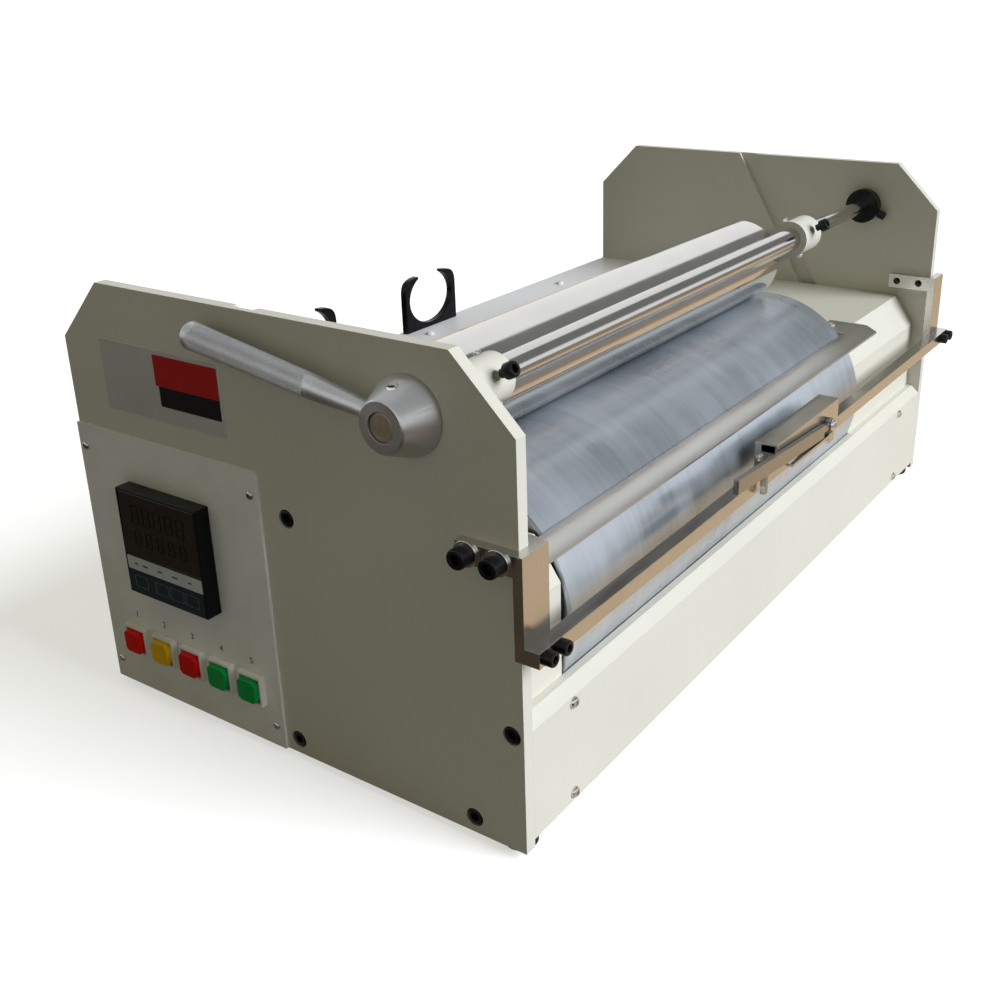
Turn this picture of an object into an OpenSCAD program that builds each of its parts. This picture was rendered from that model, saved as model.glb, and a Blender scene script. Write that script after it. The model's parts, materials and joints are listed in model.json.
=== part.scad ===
// Roving length tester: a bench instrument that measures off lengths of roving.
// A driven drum of known girth lies between two side plates, a heavy press roller
// holds the roving on it, and a hand lever lifts the roller.
// Machine axes: x from midway between the plates, y back from their front edges,
// z up from their bottom edges. stand() moves all of it to the middle of the footprint.

/* [Side plates] */
// Clear width between the two side plates
gap_w = 632; // [600:1:700]
// Thickness of a side plate
plate_t = 8; // [7:0.5:12]
// Depth of a side plate, front to back
plate_d = 340; // [330:1:400]
// Height of a side plate
plate_h = 280; // [272:1:320]
// Cut across the two upper corners of a side plate
corner_cut = 38; // [10:1:45]

/* [Drum] */
// Length of roving that one turn of the drum measures
drum_turn = 500; // [490:1:502]
// Length of the drum
drum_len = 432; // [410:1:440]
// Distance of the drum's axis behind the front edges
drum_y = 85; // [84.5:0.5:88]
// Height of the drum's axis
drum_z = 113; // [112:0.5:115]
// Wall of the drum's shell
drum_wall = 3; // [2:0.5:5]
// Thickness of the discs that close the drum
disc_t = 12; // [10:1:20]
// Diameter of the fixed axle inside the drum
axle_d = 20; // [18:1:25]
// Diameter of the axle's ends, which drop into the grooves
axle_end_d = 14; // [10:0.5:15]
// Depth of the grooves in the plates' inner faces
groove_depth = 4; // [2.5:0.5:5]
// Slope of the grooves
groove_tilt = 60; // [50:1:70]
// Outside diameter of the drum's ball bearings
bearing_d = 42; // [37:1:47]

/* [Press roller] */
// Diameter of the press roller
roller_d = 62; // [58:0.5:64]
// Length of the press roller
roller_len = 398; // [380:1:404]
// Diameter of the press roller's journals
journal_d = 14; // [10:0.5:18]

/* [Lift] */
// Distance of the lift axis behind the front edges
lift_y = 65; // [62:0.5:66]
// Height of the lift axis
lift_z = 242; // [241:0.5:246]
// Diameter of the lift shaft on the lever's side
shaft_d = 16; // [14:0.5:17]
// Diameter of the lift shaft's far end
shaft_end_d = 12; // [10:0.5:14]
// Diameter of the tube over the lift shaft
tube_d = 18; // [17.5:0.5:22]
// Diameter of a lift arm's boss
boss_d = 28; // [26:0.5:32]
// Length of a lift arm's boss
boss_w = 30; // [24:0.5:34]
// Thickness of a lift arm
arm_t = 12; // [8:0.5:16]
// Radius of a lift arm round the roller's journal
arm_end_r = 14; // [12:0.5:18]
// Gap between the tube and the press roller
tube_gap = 4; // [3:0.5:6]
// Direction of the clamp screws, up from the line of the lift arms
clamp_turn = 0; // [-10:1:10]

/* [Lever] */
// Diameter of the lever's hub at the plate
hub_d = 43; // [38:1:50]
// Diameter of the hub's front face
hub_front_d = 27; // [24:1:34]
// Length of the hub
hub_len = 21; // [20:0.5:26]
// Rise of the handle at rest
handle_rise = 9; // [0:1:20]
// Diameter of the handle's neck at the hub
neck_d = 9.5; // [8:0.5:12]
// Distance of the grip's inner end from the lift axis
grip_from = 55; // [45:1:70]
// Distance of the grip's outer end from the lift axis
grip_to = 146; // [120:1:160]
// Diameter of the grip's outer end
grip_d = 16; // [14:0.5:17]

/* [Covers] */
// Thickness of the cover sheets
sheet_t = 2; // [1.5:0.1:2.5]
// Height of the deck's upper face
deck_z = 164; // [163:0.5:166]
// Width of the cover left of the drum
left_cover_w = 46; // [44:1:50]
// Gap between the drum's ends and the covers
drum_side_gap = 2; // [1:0.5:4]
// Distance of the covers' upper fold behind the front edges
fold_y = 28; // [26:0.5:34]
// Height of the covers' lower fold
fold_z = 139.5; // [130:0.5:145]
// Height of the front cover's upright part
front_h = 75; // [74:0.5:76]
// Rise and depth of the front cover's sloping band
band = 6.5; // [5:0.5:7]
// Clearance of the front cover above the plates' bottom edges
front_low = 5; // [3:0.5:6]
// Thickness of the drum guard strip
guard_t = 1.5; // [1:0.1:2]
// Clearance between the guard strip and the drum
guard_clear = 1.2; // [0.8:0.1:2]
// Flat width of the guard strip
guard_flat = 7; // [5:0.5:10]
// Depth of the guard strip's lip
guard_lip_d = 9.3; // [7:0.1:10]
// Drop of the guard strip's lip
guard_lip_h = 4.5; // [3:0.1:6]
// Length of the guard strip past the drum's right end
guard_over = 38; // [30:1:60]

/* [Base] */
// Thickness of the base tray
base_t = 2.5; // [2:0.1:4]
// Height of the base tray's upper face
base_z = 5; // [5:0.1:6]
// Height of the tray's front and back flanges
flange_h = 17; // [15:1:30]
// Height of the plates' bottom edges above the table
foot_lift = 5; // [4:0.5:12]
// Diameter of the rubber feet
foot_d = 20; // [16:1:24]
// Distance of a foot's middle from the inner face of its plate
foot_in = 5; // [4:0.5:14]
// Width of the square tie bar behind the drum
back_bar_w = 14; // [12:0.5:15]
// Width of the low tie bars
low_bar_w = 14; // [12:0.5:18]
// Height of the low tie bars
low_bar_h = 10; // [9:0.5:14]
// Depth of the front tie bar
front_bar_d = 9.5; // [9:0.5:10]
// Height of the front tie bar
front_bar_h = 13.5; // [13:0.5:16]

/* [Control panel] */
// Width of the control panel, from the plate's back edge
panel_w = 160; // [150:1:162]
// Height of the control panel
panel_h = 186; // [180:1:195]
// Thickness of the control panel
panel_t = 2; // [1.5:0.1:3]
// Width and height of the meter's front
meter_w = 72; // [68:1:80]
// Width and height of the meter's body
meter_body_w = 67; // [60:1:67]
// Distance the meter's front stands out of the panel
meter_out = 11; // [8:0.5:14]
// Depth of the meter's body behind the panel's face
meter_in = 70; // [50:1:80]
// Height of the meter's centre
meter_z = 119; // [112:1:125]
// Spacing of the push buttons
button_pitch = 26.8; // [25:0.1:28]
// Height of the push buttons' centres
button_z = 38; // [36:0.5:42]
// Width of a push button's bezel
bezel_w = 20.5; // [19:0.5:24]
// Height of a push button's bezel
bezel_h = 20.5; // [18:0.5:22]
// Distance a push button's bezel stands out of the panel
bezel_out = 4.5; // [4:0.1:6]
// Width of the bezel's rim
bezel_rim = 2.1; // [1.5:0.1:2.5]
// Distance a push button's cap stands out of its bezel
cap_out = 3; // [2.4:0.1:5]
// Distance that a push button travels
button_travel = 2; // [1:0.1:2.2]
// Diameter of the switches behind the push buttons
switch_d = 15.8; // [14:0.1:17]
// Depth of the switches behind the panel's face
switch_in = 30; // [26:1:40]
// Diameter of the push buttons' stems
stem_d = 6; // [5:0.1:7]
// Width of the nameplate
name_w = 103; // [80:1:110]
// Height of the nameplate
name_h = 44.5; // [36:0.5:46]
// Distance of the nameplate's front edge behind the control panel's
name_inset = 22; // [20:1:40]
// Distance of the nameplate above the control panel
name_gap = 16; // [8:1:20]

/* [Front rail] */
// Depth and height of the rail's section
rail_size = 9; // [8:0.5:10]
// Height of the rail's lower face
rail_z = 125; // [120:1:126]
// Thickness of the rail brackets
bracket_t = 6; // [5:0.5:8]
// Width of a bracket's front plate
bracket_w = 23; // [22:0.5:26]
// Height of a bracket's upper edge
bracket_z = 184; // [180:1:190]
// Height of a bracket's arm along the side plate
bracket_arm_h = 12; // [11:0.5:16]
// Reach of a bracket's arm behind the front edges
bracket_reach = 35; // [35:0.5:45]
// Length of the carriage on the rail
carriage_len = 111; // [105:1:130]
// Distance of the carriage's right end from the left plate's inner face
carriage_at = 376; // [350:1:390]
// Height of the carriage above the rail
carriage_h = 16; // [14:0.5:18]
// Sheet of the carriage
carriage_t = 1.2; // [1:0.1:1.5]
// Length of the carriage's lever, from its pivot
cutter_len = 156; // [140:1:165]
// Height of the lever's blade
cutter_h = 9.8; // [8:0.1:10]
// Thickness of the lever's blade
cutter_t = 3.8; // [3:0.1:4]
// Rise of the lever's free end at rest
cutter_rise = 3.8; // [3:0.1:6]

/* [Roving clips] */
// Inside width of a clip
clip_w = 55.7; // [50:0.1:60]
// Inside height of a clip, measured to where its mouth would close
clip_h = 43.4; // [40:0.1:48]
// Wall of a clip at its sides
clip_wall = 5.2; // [4:0.1:6]
// Wall of a clip at its tips
clip_tip = 1.9; // [1.5:0.1:4]
// Depth of a clip, front to back
clip_d = 6; // [5:0.5:12]
// Distance of the clips from the deck's back edge
clip_inset = 2; // [0:0.5:6]
// Distance between the two clips
clip_pitch = 149; // [120:1:170]
// Width of a clip's mouth
clip_mouth = 31; // [26:0.5:34]

/* [Drive] */
// Radius of the drum's pulley
drum_pulley_r = 40; // [36:1:44]
// Radius of the motor's pulley
motor_pulley_r = 20; // [18:1:22]
// Distance of the motor's axis behind the front edges
motor_y = 215; // [205:1:225]
// Height of the motor's axis
motor_z = 55; // [50:1:60]
// Diameter of the motor
motor_d = 70; // [60:1:78]
// Length of the motor
motor_len = 88; // [70:1:95]
// Width of the drive belt
belt_w = 12; // [10:0.5:14]
// Thickness of the drive belt
belt_t = 3; // [2:0.5:4]
// Radius of the slotted disc that the sensor reads
slot_disc_r = 38; // [34:1:42]
// Number of slots in the slotted disc
slot_count = 24; // [12:1:30]

/* [Fits] */
// Radial clearance of shafts that turn
run_gap = 0.05; // [0.02:0.01:0.1]
// Clearance of pieces that are fitted and stay put
fit_gap = 0.05; // [0.02:0.01:0.1]
// Clearance between pieces that pass each other
pass_gap = 0.4; // [0.3:0.05:0.6]

/* [Hidden] */
$fn = 64;
over = 1;
tip_gap = 1;
socket_part = 0.55;
dome_rim = 0.35;

// Colours of the finishes
cream = [0.88, 0.88, 0.84];
chrome = [0.80, 0.81, 0.82];
zinc = [0.70, 0.73, 0.76];
steel = [0.60, 0.61, 0.60];
alu = [0.72, 0.72, 0.71];
black = [0.06, 0.06, 0.07];

// Places across the machine
in_x = gap_w / 2;
out_x = in_x + plate_t;
drum_r = drum_turn / (2 * PI);
drum_x0 = -in_x + left_cover_w + drum_side_gap;
drum_x1 = drum_x0 + drum_len;
drum_mid = (drum_x0 + drum_x1) / 2;
right_cover_x = drum_x1 + drum_side_gap;
panel_x = -out_x - panel_t;

// Places of the press roller and its lift
nip_gap = 0.3;
roller_r = roller_d / 2;
roller_out = drum_r + roller_r + nip_gap;
lift_run = [lift_y - drum_y, lift_z - drum_z];
lift_out = norm(lift_run);
arm_len = tube_gap + max(tube_d / 2 + roller_r, lift_out - roller_out);
roller_turn = acos((pow(roller_out, 2) + pow(lift_out, 2) - pow(arm_len, 2)) / (2 * roller_out * lift_out));
roller_lean = roller_turn + atan2(lift_run[0], lift_run[1]);
roller_y = drum_y + roller_out * sin(roller_lean);
roller_z = drum_z + roller_out * cos(roller_lean);
arm_turn = atan2(roller_z - lift_z, roller_y - lift_y);
clamp_rise = clamp_turn - arm_turn;
boss_in = roller_len / 2 + pass_gap;
hub_x = -out_x - pass_gap;
handle_x = hub_x - hub_len / 2;
handle_seat = 3;
handle_root = shaft_d / 2 + handle_seat;
grip_step = 2.1;
grip_round = 3.5;
hub_skirt = 3;
hub_edge = 1;
hub_screw_turn = 81;
hub_set_d = 6;
hub_set_len = 10.3;
shaft_sink = 0.5;
left_boss = [drum_mid - boss_in - boss_w, drum_mid - boss_in];
right_boss = [drum_mid + boss_in, drum_mid + boss_in + boss_w];
arm_x = [left_boss[1] - arm_t, right_boss[0]];
collar_d = 29.5;
collar_w = 8;
collar_neck = 3;
collar_screw_d = 4;
collar_dip = 22;
collar_head_d = 7;
collar_x = in_x - pass_gap - collar_w / 2;
clamp_d = 6;
clamp_head_d = 9.3;
clamp_head_h = 6.5;
clamp_neck = 7;
set_d = 3;
set_head_d = 5;
set_head_h = 2.6;
set_seat = 0.2;
set_turns = [0, 180];
bush_wall = 3;

// Places of the frame
tie_d = 6;
tie_head_d = 10;
tie_head_h = 6;
tie_sink_d = 11.5;
tie_deep = 18;
front_bar_y = sheet_t;
front_bar_top = front_h + band - sheet_t;
front_bar_low = front_bar_top - front_bar_h;
front_bar_cut = [2, 4];
front_tie = [1, 8];
band_turn = 45;
wing_y = front_bar_y + front_bar_d;
back_bar_mid = 160.4;
back_bar_drop = 2.5;
back_bar_at = [back_bar_mid, deck_z - back_bar_drop];
front_screw = [front_bar_y + front_bar_d / 2 + front_tie[0], front_bar_low + front_tie[1]];
low_bar_z = base_z + low_bar_h / 2;
low_bar_y = [35, 169.6];
low_bar_inset = 20;
low_bars = [low_bar_y[0], low_bar_y[1], plate_d - low_bar_inset];
tie_at = concat([for (y = low_bars) [y, low_bar_z]], [front_screw, back_bar_at]);
back_bar_y0 = back_bar_at[0] - back_bar_w / 2;
back_bar_y1 = back_bar_at[0] + back_bar_w / 2;
flange_y = sheet_t + base_t;
foot_inset = 3;
foot_neck_d = 2 * (foot_in - pass_gap);

// Places of the sheet screws
sheet_d = 4;
sheet_head_d = 8;
sheet_head_h = 2.6;
sheet_screw_len = 7;
front_screw_inset = [40, 54];
front_screw_rise = [5, 6];
front_screw_x = [front_screw_inset[0] - in_x, in_x - front_screw_inset[1]];
front_screw_z = [front_bar_low + front_screw_rise[0], base_z + front_screw_rise[1]];
deck_screw_step = 198;
deck_screw_x = [for (k = [-1:1]) k * deck_screw_step];
deck_flange = 34;
deck_screw_inset = 23;
deck_screw_y = plate_d - deck_screw_inset;
rear_screw_step = 260;
rear_screw_x = [for (k = [-1:1]) k * rear_screw_step];
rear_screw_rise = 9;
rear_screw_z = base_z + rear_screw_rise;
ear_y = 47;
ear_screw_y = 40;
ear_inset = 4;
guard_end_gap = 3;
guard_x0 = guard_end_gap - in_x;
guard_x1 = drum_x1 + guard_over;
guard_top = deck_z + guard_t;
guard_back = drum_y - sqrt(pow(drum_r, 2) - pow(deck_z - drum_z, 2)) - guard_clear;
guard_ear_w = guard_x1 - right_cover_x - ear_inset;
left_ear_w = -in_x + left_cover_w - ear_inset - guard_x0;
ear_screw_x = [guard_x0 + left_ear_w / 2, guard_x1 - guard_ear_w / 2];

// Places on the control panel
panel_y = plate_d - panel_w;
panel_mid = plate_d - panel_w / 2;
meter_at = [panel_mid, meter_z];
panel_screw_inset = [6, 15];
panel_screw_y = [panel_y + panel_screw_inset[0], plate_d - panel_screw_inset[0]];
panel_screw_z = [panel_screw_inset[1], panel_h - panel_screw_inset[1]];
panel_screw_d = 3;
panel_screw_h = 1.6;
cap_gap = 0.3;
cap_hole = [bezel_w - 2 * bezel_rim, bezel_h - 2 * bezel_rim];
cap_size = cap_hole - 2 * [cap_gap, cap_gap];
cap_cut = 2.4;
cap_back = button_travel + pass_gap;
stem_in = 20;
stem_room = 2;
button_shift = 4;
button_at = [for (k = [2:-1:-2]) [panel_mid - button_shift + k * button_pitch, button_z]];
button_colours = [[0.78, 0.08, 0.08], [0.93, 0.68, 0.08], [0.78, 0.08, 0.08], [0.05, 0.52, 0.24],
                  [0.05, 0.52, 0.24]];
meter_rim = 1.5;
meter_bar = 1;
keypad_part = 0.354;
keypad_h = keypad_part * meter_w;
window_h = meter_w - 2 * meter_rim - meter_bar - keypad_h;
window_t = 1.8;
keypad_t = 0.9;
window_sink = 0.2;
window_z1 = meter_at[1] + meter_w / 2 - meter_rim;
window_z0 = window_z1 - window_h;
keypad_z0 = meter_at[1] - meter_w / 2 + meter_rim;
keypad_z1 = keypad_z0 + keypad_h;
name_t = 1;
name_at = [panel_y + name_inset, panel_h + name_gap];
clip_floor = 3.9;
clip_square = 4.5;
outer_steps = 12;
inner_steps = 32;
clip_mid = deck_z + clip_floor + clip_h / 2;

// Places on the front rail
rail_y = -bracket_t - rail_size;
rail_x0 = -out_x - bracket_t;
rail_x1 = in_x - bracket_t + bracket_w;
rail_mid_z = rail_z + rail_size / 2;
rail_top = rail_z + rail_size;
rail_screw_d = 5;
rail_head_d = 8.5;
rail_head_h = 5.5;
rail_screw_in = [6, 19];
bracket_screw_d = 8;
bracket_head_d = 11.5;
bracket_head_h = 8;
washer_d = 14.5;
washer_t = 1.5;
bracket_screw_y = [8.5, 28];
thread_short = 3;
pilot_d = 6;
bracket_screw_z = bracket_z - bracket_arm_h / 2;
carriage_x1 = -in_x + carriage_at;
carriage_x0 = carriage_x1 - carriage_len;
carriage_y0 = rail_y - pass_gap - carriage_t;
carriage_back = 1;
carriage_y1 = -carriage_back;
carriage_low = rail_top + pass_gap;
carriage_top = rail_top + carriage_h;
shoe_w = 10;
shoe_drop = 1;
shoe_rise = 6;
shoe_z = [rail_z - shoe_drop, rail_z + shoe_rise];
pivot_inset = 22;
pivot_x = carriage_x1 - pivot_inset;
lip_rise = 3.4;
lip_low = rail_z + lip_rise;
lip_t = 2;
lip_inset = 20;
end_open = 5;
end_screw_d = 3;
end_screw_head = 5.5;
end_screw_step = 4;
end_screw_rise = 5;
end_screw_len = 6;
stop_screw_at = [9, 1.5];
pivot_rise = 2.6;
pivot_z = carriage_low + pivot_rise;
pivot_d = 5;
pivot_head_d = 10;
pivot_head_h = 3;
cutter_y1 = carriage_y0 - pass_gap;
cutter_y0 = cutter_y1 - cutter_t;
cutter_eye_r = 5;
cutter_gap = 13.4;
cutter_over = 2.9;
cutter_neck = 5;
post_w = 4;
post_at = 112.4;
post_top = 4;

// Places of the drive
pulley_gap = 2;
pulley_x = right_cover_x + pulley_gap;
pulley_rim = 3;
pulley_rim_w = 1.5;
pulley_w = belt_w + 2 * (pulley_rim_w + pass_gap);
pulley_hub_wall = 8;
motor_at = [motor_y, motor_z];
motor_plate_gap = 3;
motor_plate_x = pulley_x + pulley_w + motor_plate_gap;
motor_plate_t = 4;
motor_shaft_d = 8;
motor_spigot_d = 35;
motor_foot = 35;
motor_margin = 2;
belt_gap = 0.3;
slot_disc_out = 14;
slot_disc_x = drum_x0 - slot_disc_out;
slot_disc_t = 1.5;
slot_hub_wall = 5;
slot_size = [5, 2];
slot_edge = 2;
sensor_gap = 1.2;
sensor_wall = 4;
sensor_lap = 9;
sensor_slot = 12;
sensor_size = [20, 20];
disc_inset = 1;
disc_x = [drum_x0 + disc_inset, drum_x1 - disc_inset - disc_t];
axle_clear = 0.5;

// Places of the control board and of the power inlet
board_inset = 90;
board_len = 190;
board_t = 1.6;
board_gap = 14;
board_lift = 8;
post_d = 8;
post_inset = 6;
coil_at = [12, 14];
coil_size = [50, 74, 42];
capacitor_at = [82, 24];
capacitor_step = 22;
capacitor_d = 16;
capacitor_h = 30;
terminal_x = 80;
terminal_inset = 14;
terminal_size = [90, 26, 14];
inlet_inset = 90;
inlet_z = 120;
inlet_at = [in_x - inlet_inset, inlet_z];
inlet_size = [50, 28];
inlet_body = [27, 20];
inlet_wall = 1.5;
inlet_floor = 6;
inlet_deep = 24;
inlet_out = 2.5;
pin_step = [7, 2];
pin_size = [2, 4];
pin_short = 4;

// Middle of the whole footprint
reach_left = hub_x - hub_len;
reach_right = max(rail_x1, out_x + washer_t + bracket_head_h);
reach_front = cutter_y0 - pivot_head_h;
reach_back = plate_d + inlet_out;
mid_x = (reach_left + reach_right) / 2;
mid_y = (reach_front + reach_back) / 2;

// Moves a piece from the machine's axes to the middle of the footprint
module stand() {
  translate([-mid_x, -mid_y, foot_lift]) children();
}

// Block between two corners
module block(low, high) {
  translate(low) cube(high - low);
}

// Round bar along x
module rod_x(x0, x1, at, d) {
  translate([x0, at[0], at[1]]) rotate([0, 90, 0]) cylinder(d = d, h = x1 - x0);
}

// Section drawn in y and z, extruded along x
module along_x(x0, x1) {
  translate([x0, 0, 0]) rotate([90, 0, 90]) linear_extrude(x1 - x0) children();
}

// Section drawn in x and z, extruded along y
module along_y(y0, y1) {
  translate([0, y1, 0]) rotate([90, 0, 0]) linear_extrude(y1 - y0) children();
}

// Turns a screw drawn along z so that its head faces left, right, front or back
module face_left(at) { translate(at) rotate([0, -90, 0]) children(); }
module face_right(at) { translate(at) rotate([0, 90, 0]) children(); }
module face_front(at) { translate(at) rotate([90, 0, 0]) children(); }
module face_back(at) { translate(at) rotate([-90, 0, 0]) children(); }

// Cap screw along z: seat at z = 0, head above it, hexagon socket in the head
module cap_screw(d, head_d, head_h, length) {
  difference() {
    union() {
      cylinder(d = head_d, h = head_h);
      translate([0, 0, -length]) cylinder(d = d, h = length + over / 2);
    }
    translate([0, 0, head_h / 2]) cylinder(d = head_d * socket_part, h = head_h, $fn = 6);
  }
}

// Dome-headed screw along z: seat at z = 0, head above it
module dome_screw(d, head_d, head_h, length) {
  shank = [[0, -length], [d / 2, -length], [d / 2, 0], [head_d / 2, 0]];
  dome = [for (a = [0:30:90])
    [head_d / 2 * cos(a), head_h * (dome_rim + (1 - dome_rim) * sin(a))]];
  rotate_extrude() polygon(concat(shank, dome));
}

// Hole for a screw along z, through its seat
module screw_hole(d, length) {
  translate([0, 0, -length]) cylinder(d = d + 2 * fit_gap, h = length + over);
}

// Outline of a side plate in y and z
module plate_outline() {
  polygon([[0, 0], [plate_d, 0], [plate_d, plate_h - corner_cut], [plate_d - corner_cut, plate_h],
           [corner_cut, plate_h], [0, plate_h - corner_cut]]);
}

// Groove in a plate's inner face, from its upper edge down to the drum's axis
module axle_groove(x0, x1) {
  groove_w = axle_end_d + pass_gap;
  translate([x0, drum_y, drum_z]) rotate([groove_tilt, 0, 0]) {
    translate([0, 0, -groove_w / 2]) cube([x1 - x0, plate_h, groove_w]);
    rotate([0, 90, 0]) cylinder(d = groove_w, h = x1 - x0);
  }
}

// Sunk holes for the tie bars' screws, drawn for the left plate
module tie_holes() {
  for (at = tie_at) {
    rod_x(-out_x - over, -in_x + over, at, tie_d + 2 * fit_gap);
    rod_x(-out_x - over, -out_x + tie_head_h, at, tie_sink_d);
  }
}

module left_side_plate() {
  color(cream) stand() difference() {
    along_x(-out_x, -in_x) plate_outline();
    tie_holes();
    axle_groove(-in_x - groove_depth, -in_x + over);
    rod_x(-out_x - over, -in_x + over, [lift_y, lift_z], shaft_d + 2 * bush_wall + 2 * fit_gap);
    meter_cut(-out_x - over, -in_x + over);
    for (at = button_at) rod_x(-out_x - over, -in_x + over, at, switch_d + 2 * fit_gap);
    for (y = panel_screw_y, z = panel_screw_z)
      rod_x(-out_x - over, -in_x + over, [y, z], panel_screw_d + 2 * fit_gap);
    for (y = bracket_screw_y)
      rod_x(-out_x - over, -in_x + over, [y, bracket_screw_z], bracket_screw_d + 2 * fit_gap);
  }
}

module right_side_plate() {
  color(cream) stand() difference() {
    along_x(in_x, out_x) plate_outline();
    mirror([1, 0, 0]) tie_holes();
    axle_groove(in_x - over, in_x + groove_depth);
    rod_x(in_x - over, out_x + over, [lift_y, lift_z], shaft_end_d + 2 * bush_wall + 2 * fit_gap);
    for (y = bracket_screw_y)
      rod_x(in_x - over, out_x + over, [y, bracket_screw_z], bracket_screw_d + 2 * fit_gap);
  }
}

// Folded tray that closes the bottom and carries the feet
module base_tray() {
  y1 = plate_d - sheet_t;
  color(steel) stand() difference() {
    along_x(-in_x, in_x)
      polygon([[sheet_t, base_z - base_t], [y1, base_z - base_t], [y1, base_z + flange_h],
               [y1 - base_t, base_z + flange_h], [y1 - base_t, base_z], [flange_y, base_z],
               [flange_y, base_z + flange_h], [sheet_t, base_z + flange_h]]);
    for (x = front_screw_x)
      face_front([x, 0, front_screw_z[1]]) screw_hole(sheet_d, sheet_screw_len + over);
    for (x = rear_screw_x)
      face_back([x, plate_d, rear_screw_z]) screw_hole(sheet_d, sheet_screw_len + over);
  }
}

// Outline of the front tie bar in y and z, cut back under the cover's band and the drum
module front_bar_outline() {
  polygon([[front_bar_y, front_bar_low], [wing_y, front_bar_low], [wing_y, front_bar_top - front_bar_cut[1]],
           [wing_y - front_bar_cut[0], front_bar_top], [front_bar_y + band, front_bar_top],
           [front_bar_y, front_bar_top - band]]);
}

// Bars that hold the side plates apart
module tie_bars() {
  color(steel) stand() difference() {
    union() {
      for (y = low_bars)
        block([-in_x, y - low_bar_w / 2, base_z], [in_x, y + low_bar_w / 2, base_z + low_bar_h]);
      block([-in_x, back_bar_y0, back_bar_at[1] - back_bar_w / 2],
            [in_x, back_bar_y1, back_bar_at[1] + back_bar_w / 2]);
      along_x(-in_x, in_x) front_bar_outline();
    }
    for (at = tie_at, side = [-1, 1])
      mirror([side < 0 ? 0 : 1, 0, 0])
        rod_x(-in_x - over, -in_x + tie_deep + over, at, tie_d + 2 * fit_gap);
    for (x = front_screw_x)
      face_front([x, 0, front_screw_z[0]]) screw_hole(sheet_d, sheet_screw_len + over);
  }
}

module side_plate_screws() {
  seat = out_x - tie_head_h;
  color(black) stand() for (at = tie_at) {
    face_left([-seat, at[0], at[1]])
      cap_screw(tie_d, tie_head_d, tie_head_h, plate_t - tie_head_h + tie_deep);
    face_right([seat, at[0], at[1]])
      cap_screw(tie_d, tie_head_d, tie_head_h, plate_t - tie_head_h + tie_deep);
  }
}

// Upright front sheet with a sloping band and a ledge below the drum
module front_cover() {
  top = front_h + band;
  fold = sheet_t * tan(band_turn / 2);
  color(cream) stand() difference() {
    along_x(-in_x, in_x)
      polygon([[0, front_low], [0, front_h], [band, top], [wing_y, top], [wing_y, top - sheet_t],
               [band + fold, top - sheet_t], [sheet_t, front_h - fold], [sheet_t, front_low]]);
    for (x = front_screw_x, z = front_screw_z)
      face_front([x, 0, z]) screw_hole(sheet_d, 2 * sheet_t);
  }
}

// Bent cover beside the drum: upright front, slope and top
module wing_cover(x0, x1, screw_x) {
  slope = atan2(deck_z - fold_z, fold_y - wing_y);
  low_fold = sheet_t * tan((90 - slope) / 2);
  high_fold = sheet_t * tan(slope / 2);
  difference() {
    along_x(x0, x1)
      polygon([[wing_y, front_bar_low], [wing_y, fold_z], [fold_y, deck_z], [back_bar_y0, deck_z],
               [back_bar_y0, deck_z - sheet_t], [fold_y + high_fold, deck_z - sheet_t],
               [wing_y + sheet_t, fold_z - low_fold], [wing_y + sheet_t, front_bar_low]]);
    translate([screw_x, ear_screw_y, guard_top]) screw_hole(sheet_d, sheet_screw_len + over);
  }
}

module left_cover() {
  color(cream) stand() wing_cover(-in_x, drum_x0 - drum_side_gap, ear_screw_x[0]);
}

module right_cover() {
  color(cream) stand() wing_cover(right_cover_x, in_x, ear_screw_x[1]);
}

// Flat deck behind the drum
module rear_deck() {
  color(cream) stand() difference() {
    block([-in_x, back_bar_y1, deck_z - sheet_t], [in_x, plate_d, deck_z]);
    for (x = deck_screw_x) translate([x, deck_screw_y, deck_z]) screw_hole(sheet_d, 2 * sheet_t);
  }
}

// Back sheet with a flange under the deck and the cut-out for the power inlet
module rear_panel() {
  y0 = plate_d - sheet_t;
  z1 = deck_z - sheet_t;
  color(cream) stand() difference() {
    along_x(-in_x, in_x)
      polygon([[plate_d, front_low], [plate_d, z1], [y0 - deck_flange, z1],
               [y0 - deck_flange, z1 - sheet_t], [y0, z1 - sheet_t], [y0, front_low]]);
    for (x = deck_screw_x) translate([x, deck_screw_y, deck_z]) screw_hole(sheet_d, 3 * sheet_t);
    for (x = rear_screw_x) face_back([x, plate_d, rear_screw_z]) screw_hole(sheet_d, 2 * sheet_t);
    inlet_block(y0 - over, plate_d + over, inlet_body + [2 * fit_gap, 2 * fit_gap]);
  }
}

// Screws of the front cover, the deck, the back sheet and the guard strip
module cover_screws() {
  color(chrome) stand() {
    for (x = front_screw_x, z = front_screw_z) face_front([x, 0, z]) sheet_screw();
    for (x = deck_screw_x) translate([x, deck_screw_y, deck_z]) sheet_screw();
    for (x = rear_screw_x) face_back([x, plate_d, rear_screw_z]) sheet_screw();
    for (x = ear_screw_x) translate([x, ear_screw_y, guard_top]) sheet_screw();
  }
}

module sheet_screw() {
  dome_screw(sheet_d, sheet_head_d, sheet_head_h, sheet_screw_len);
}

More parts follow.
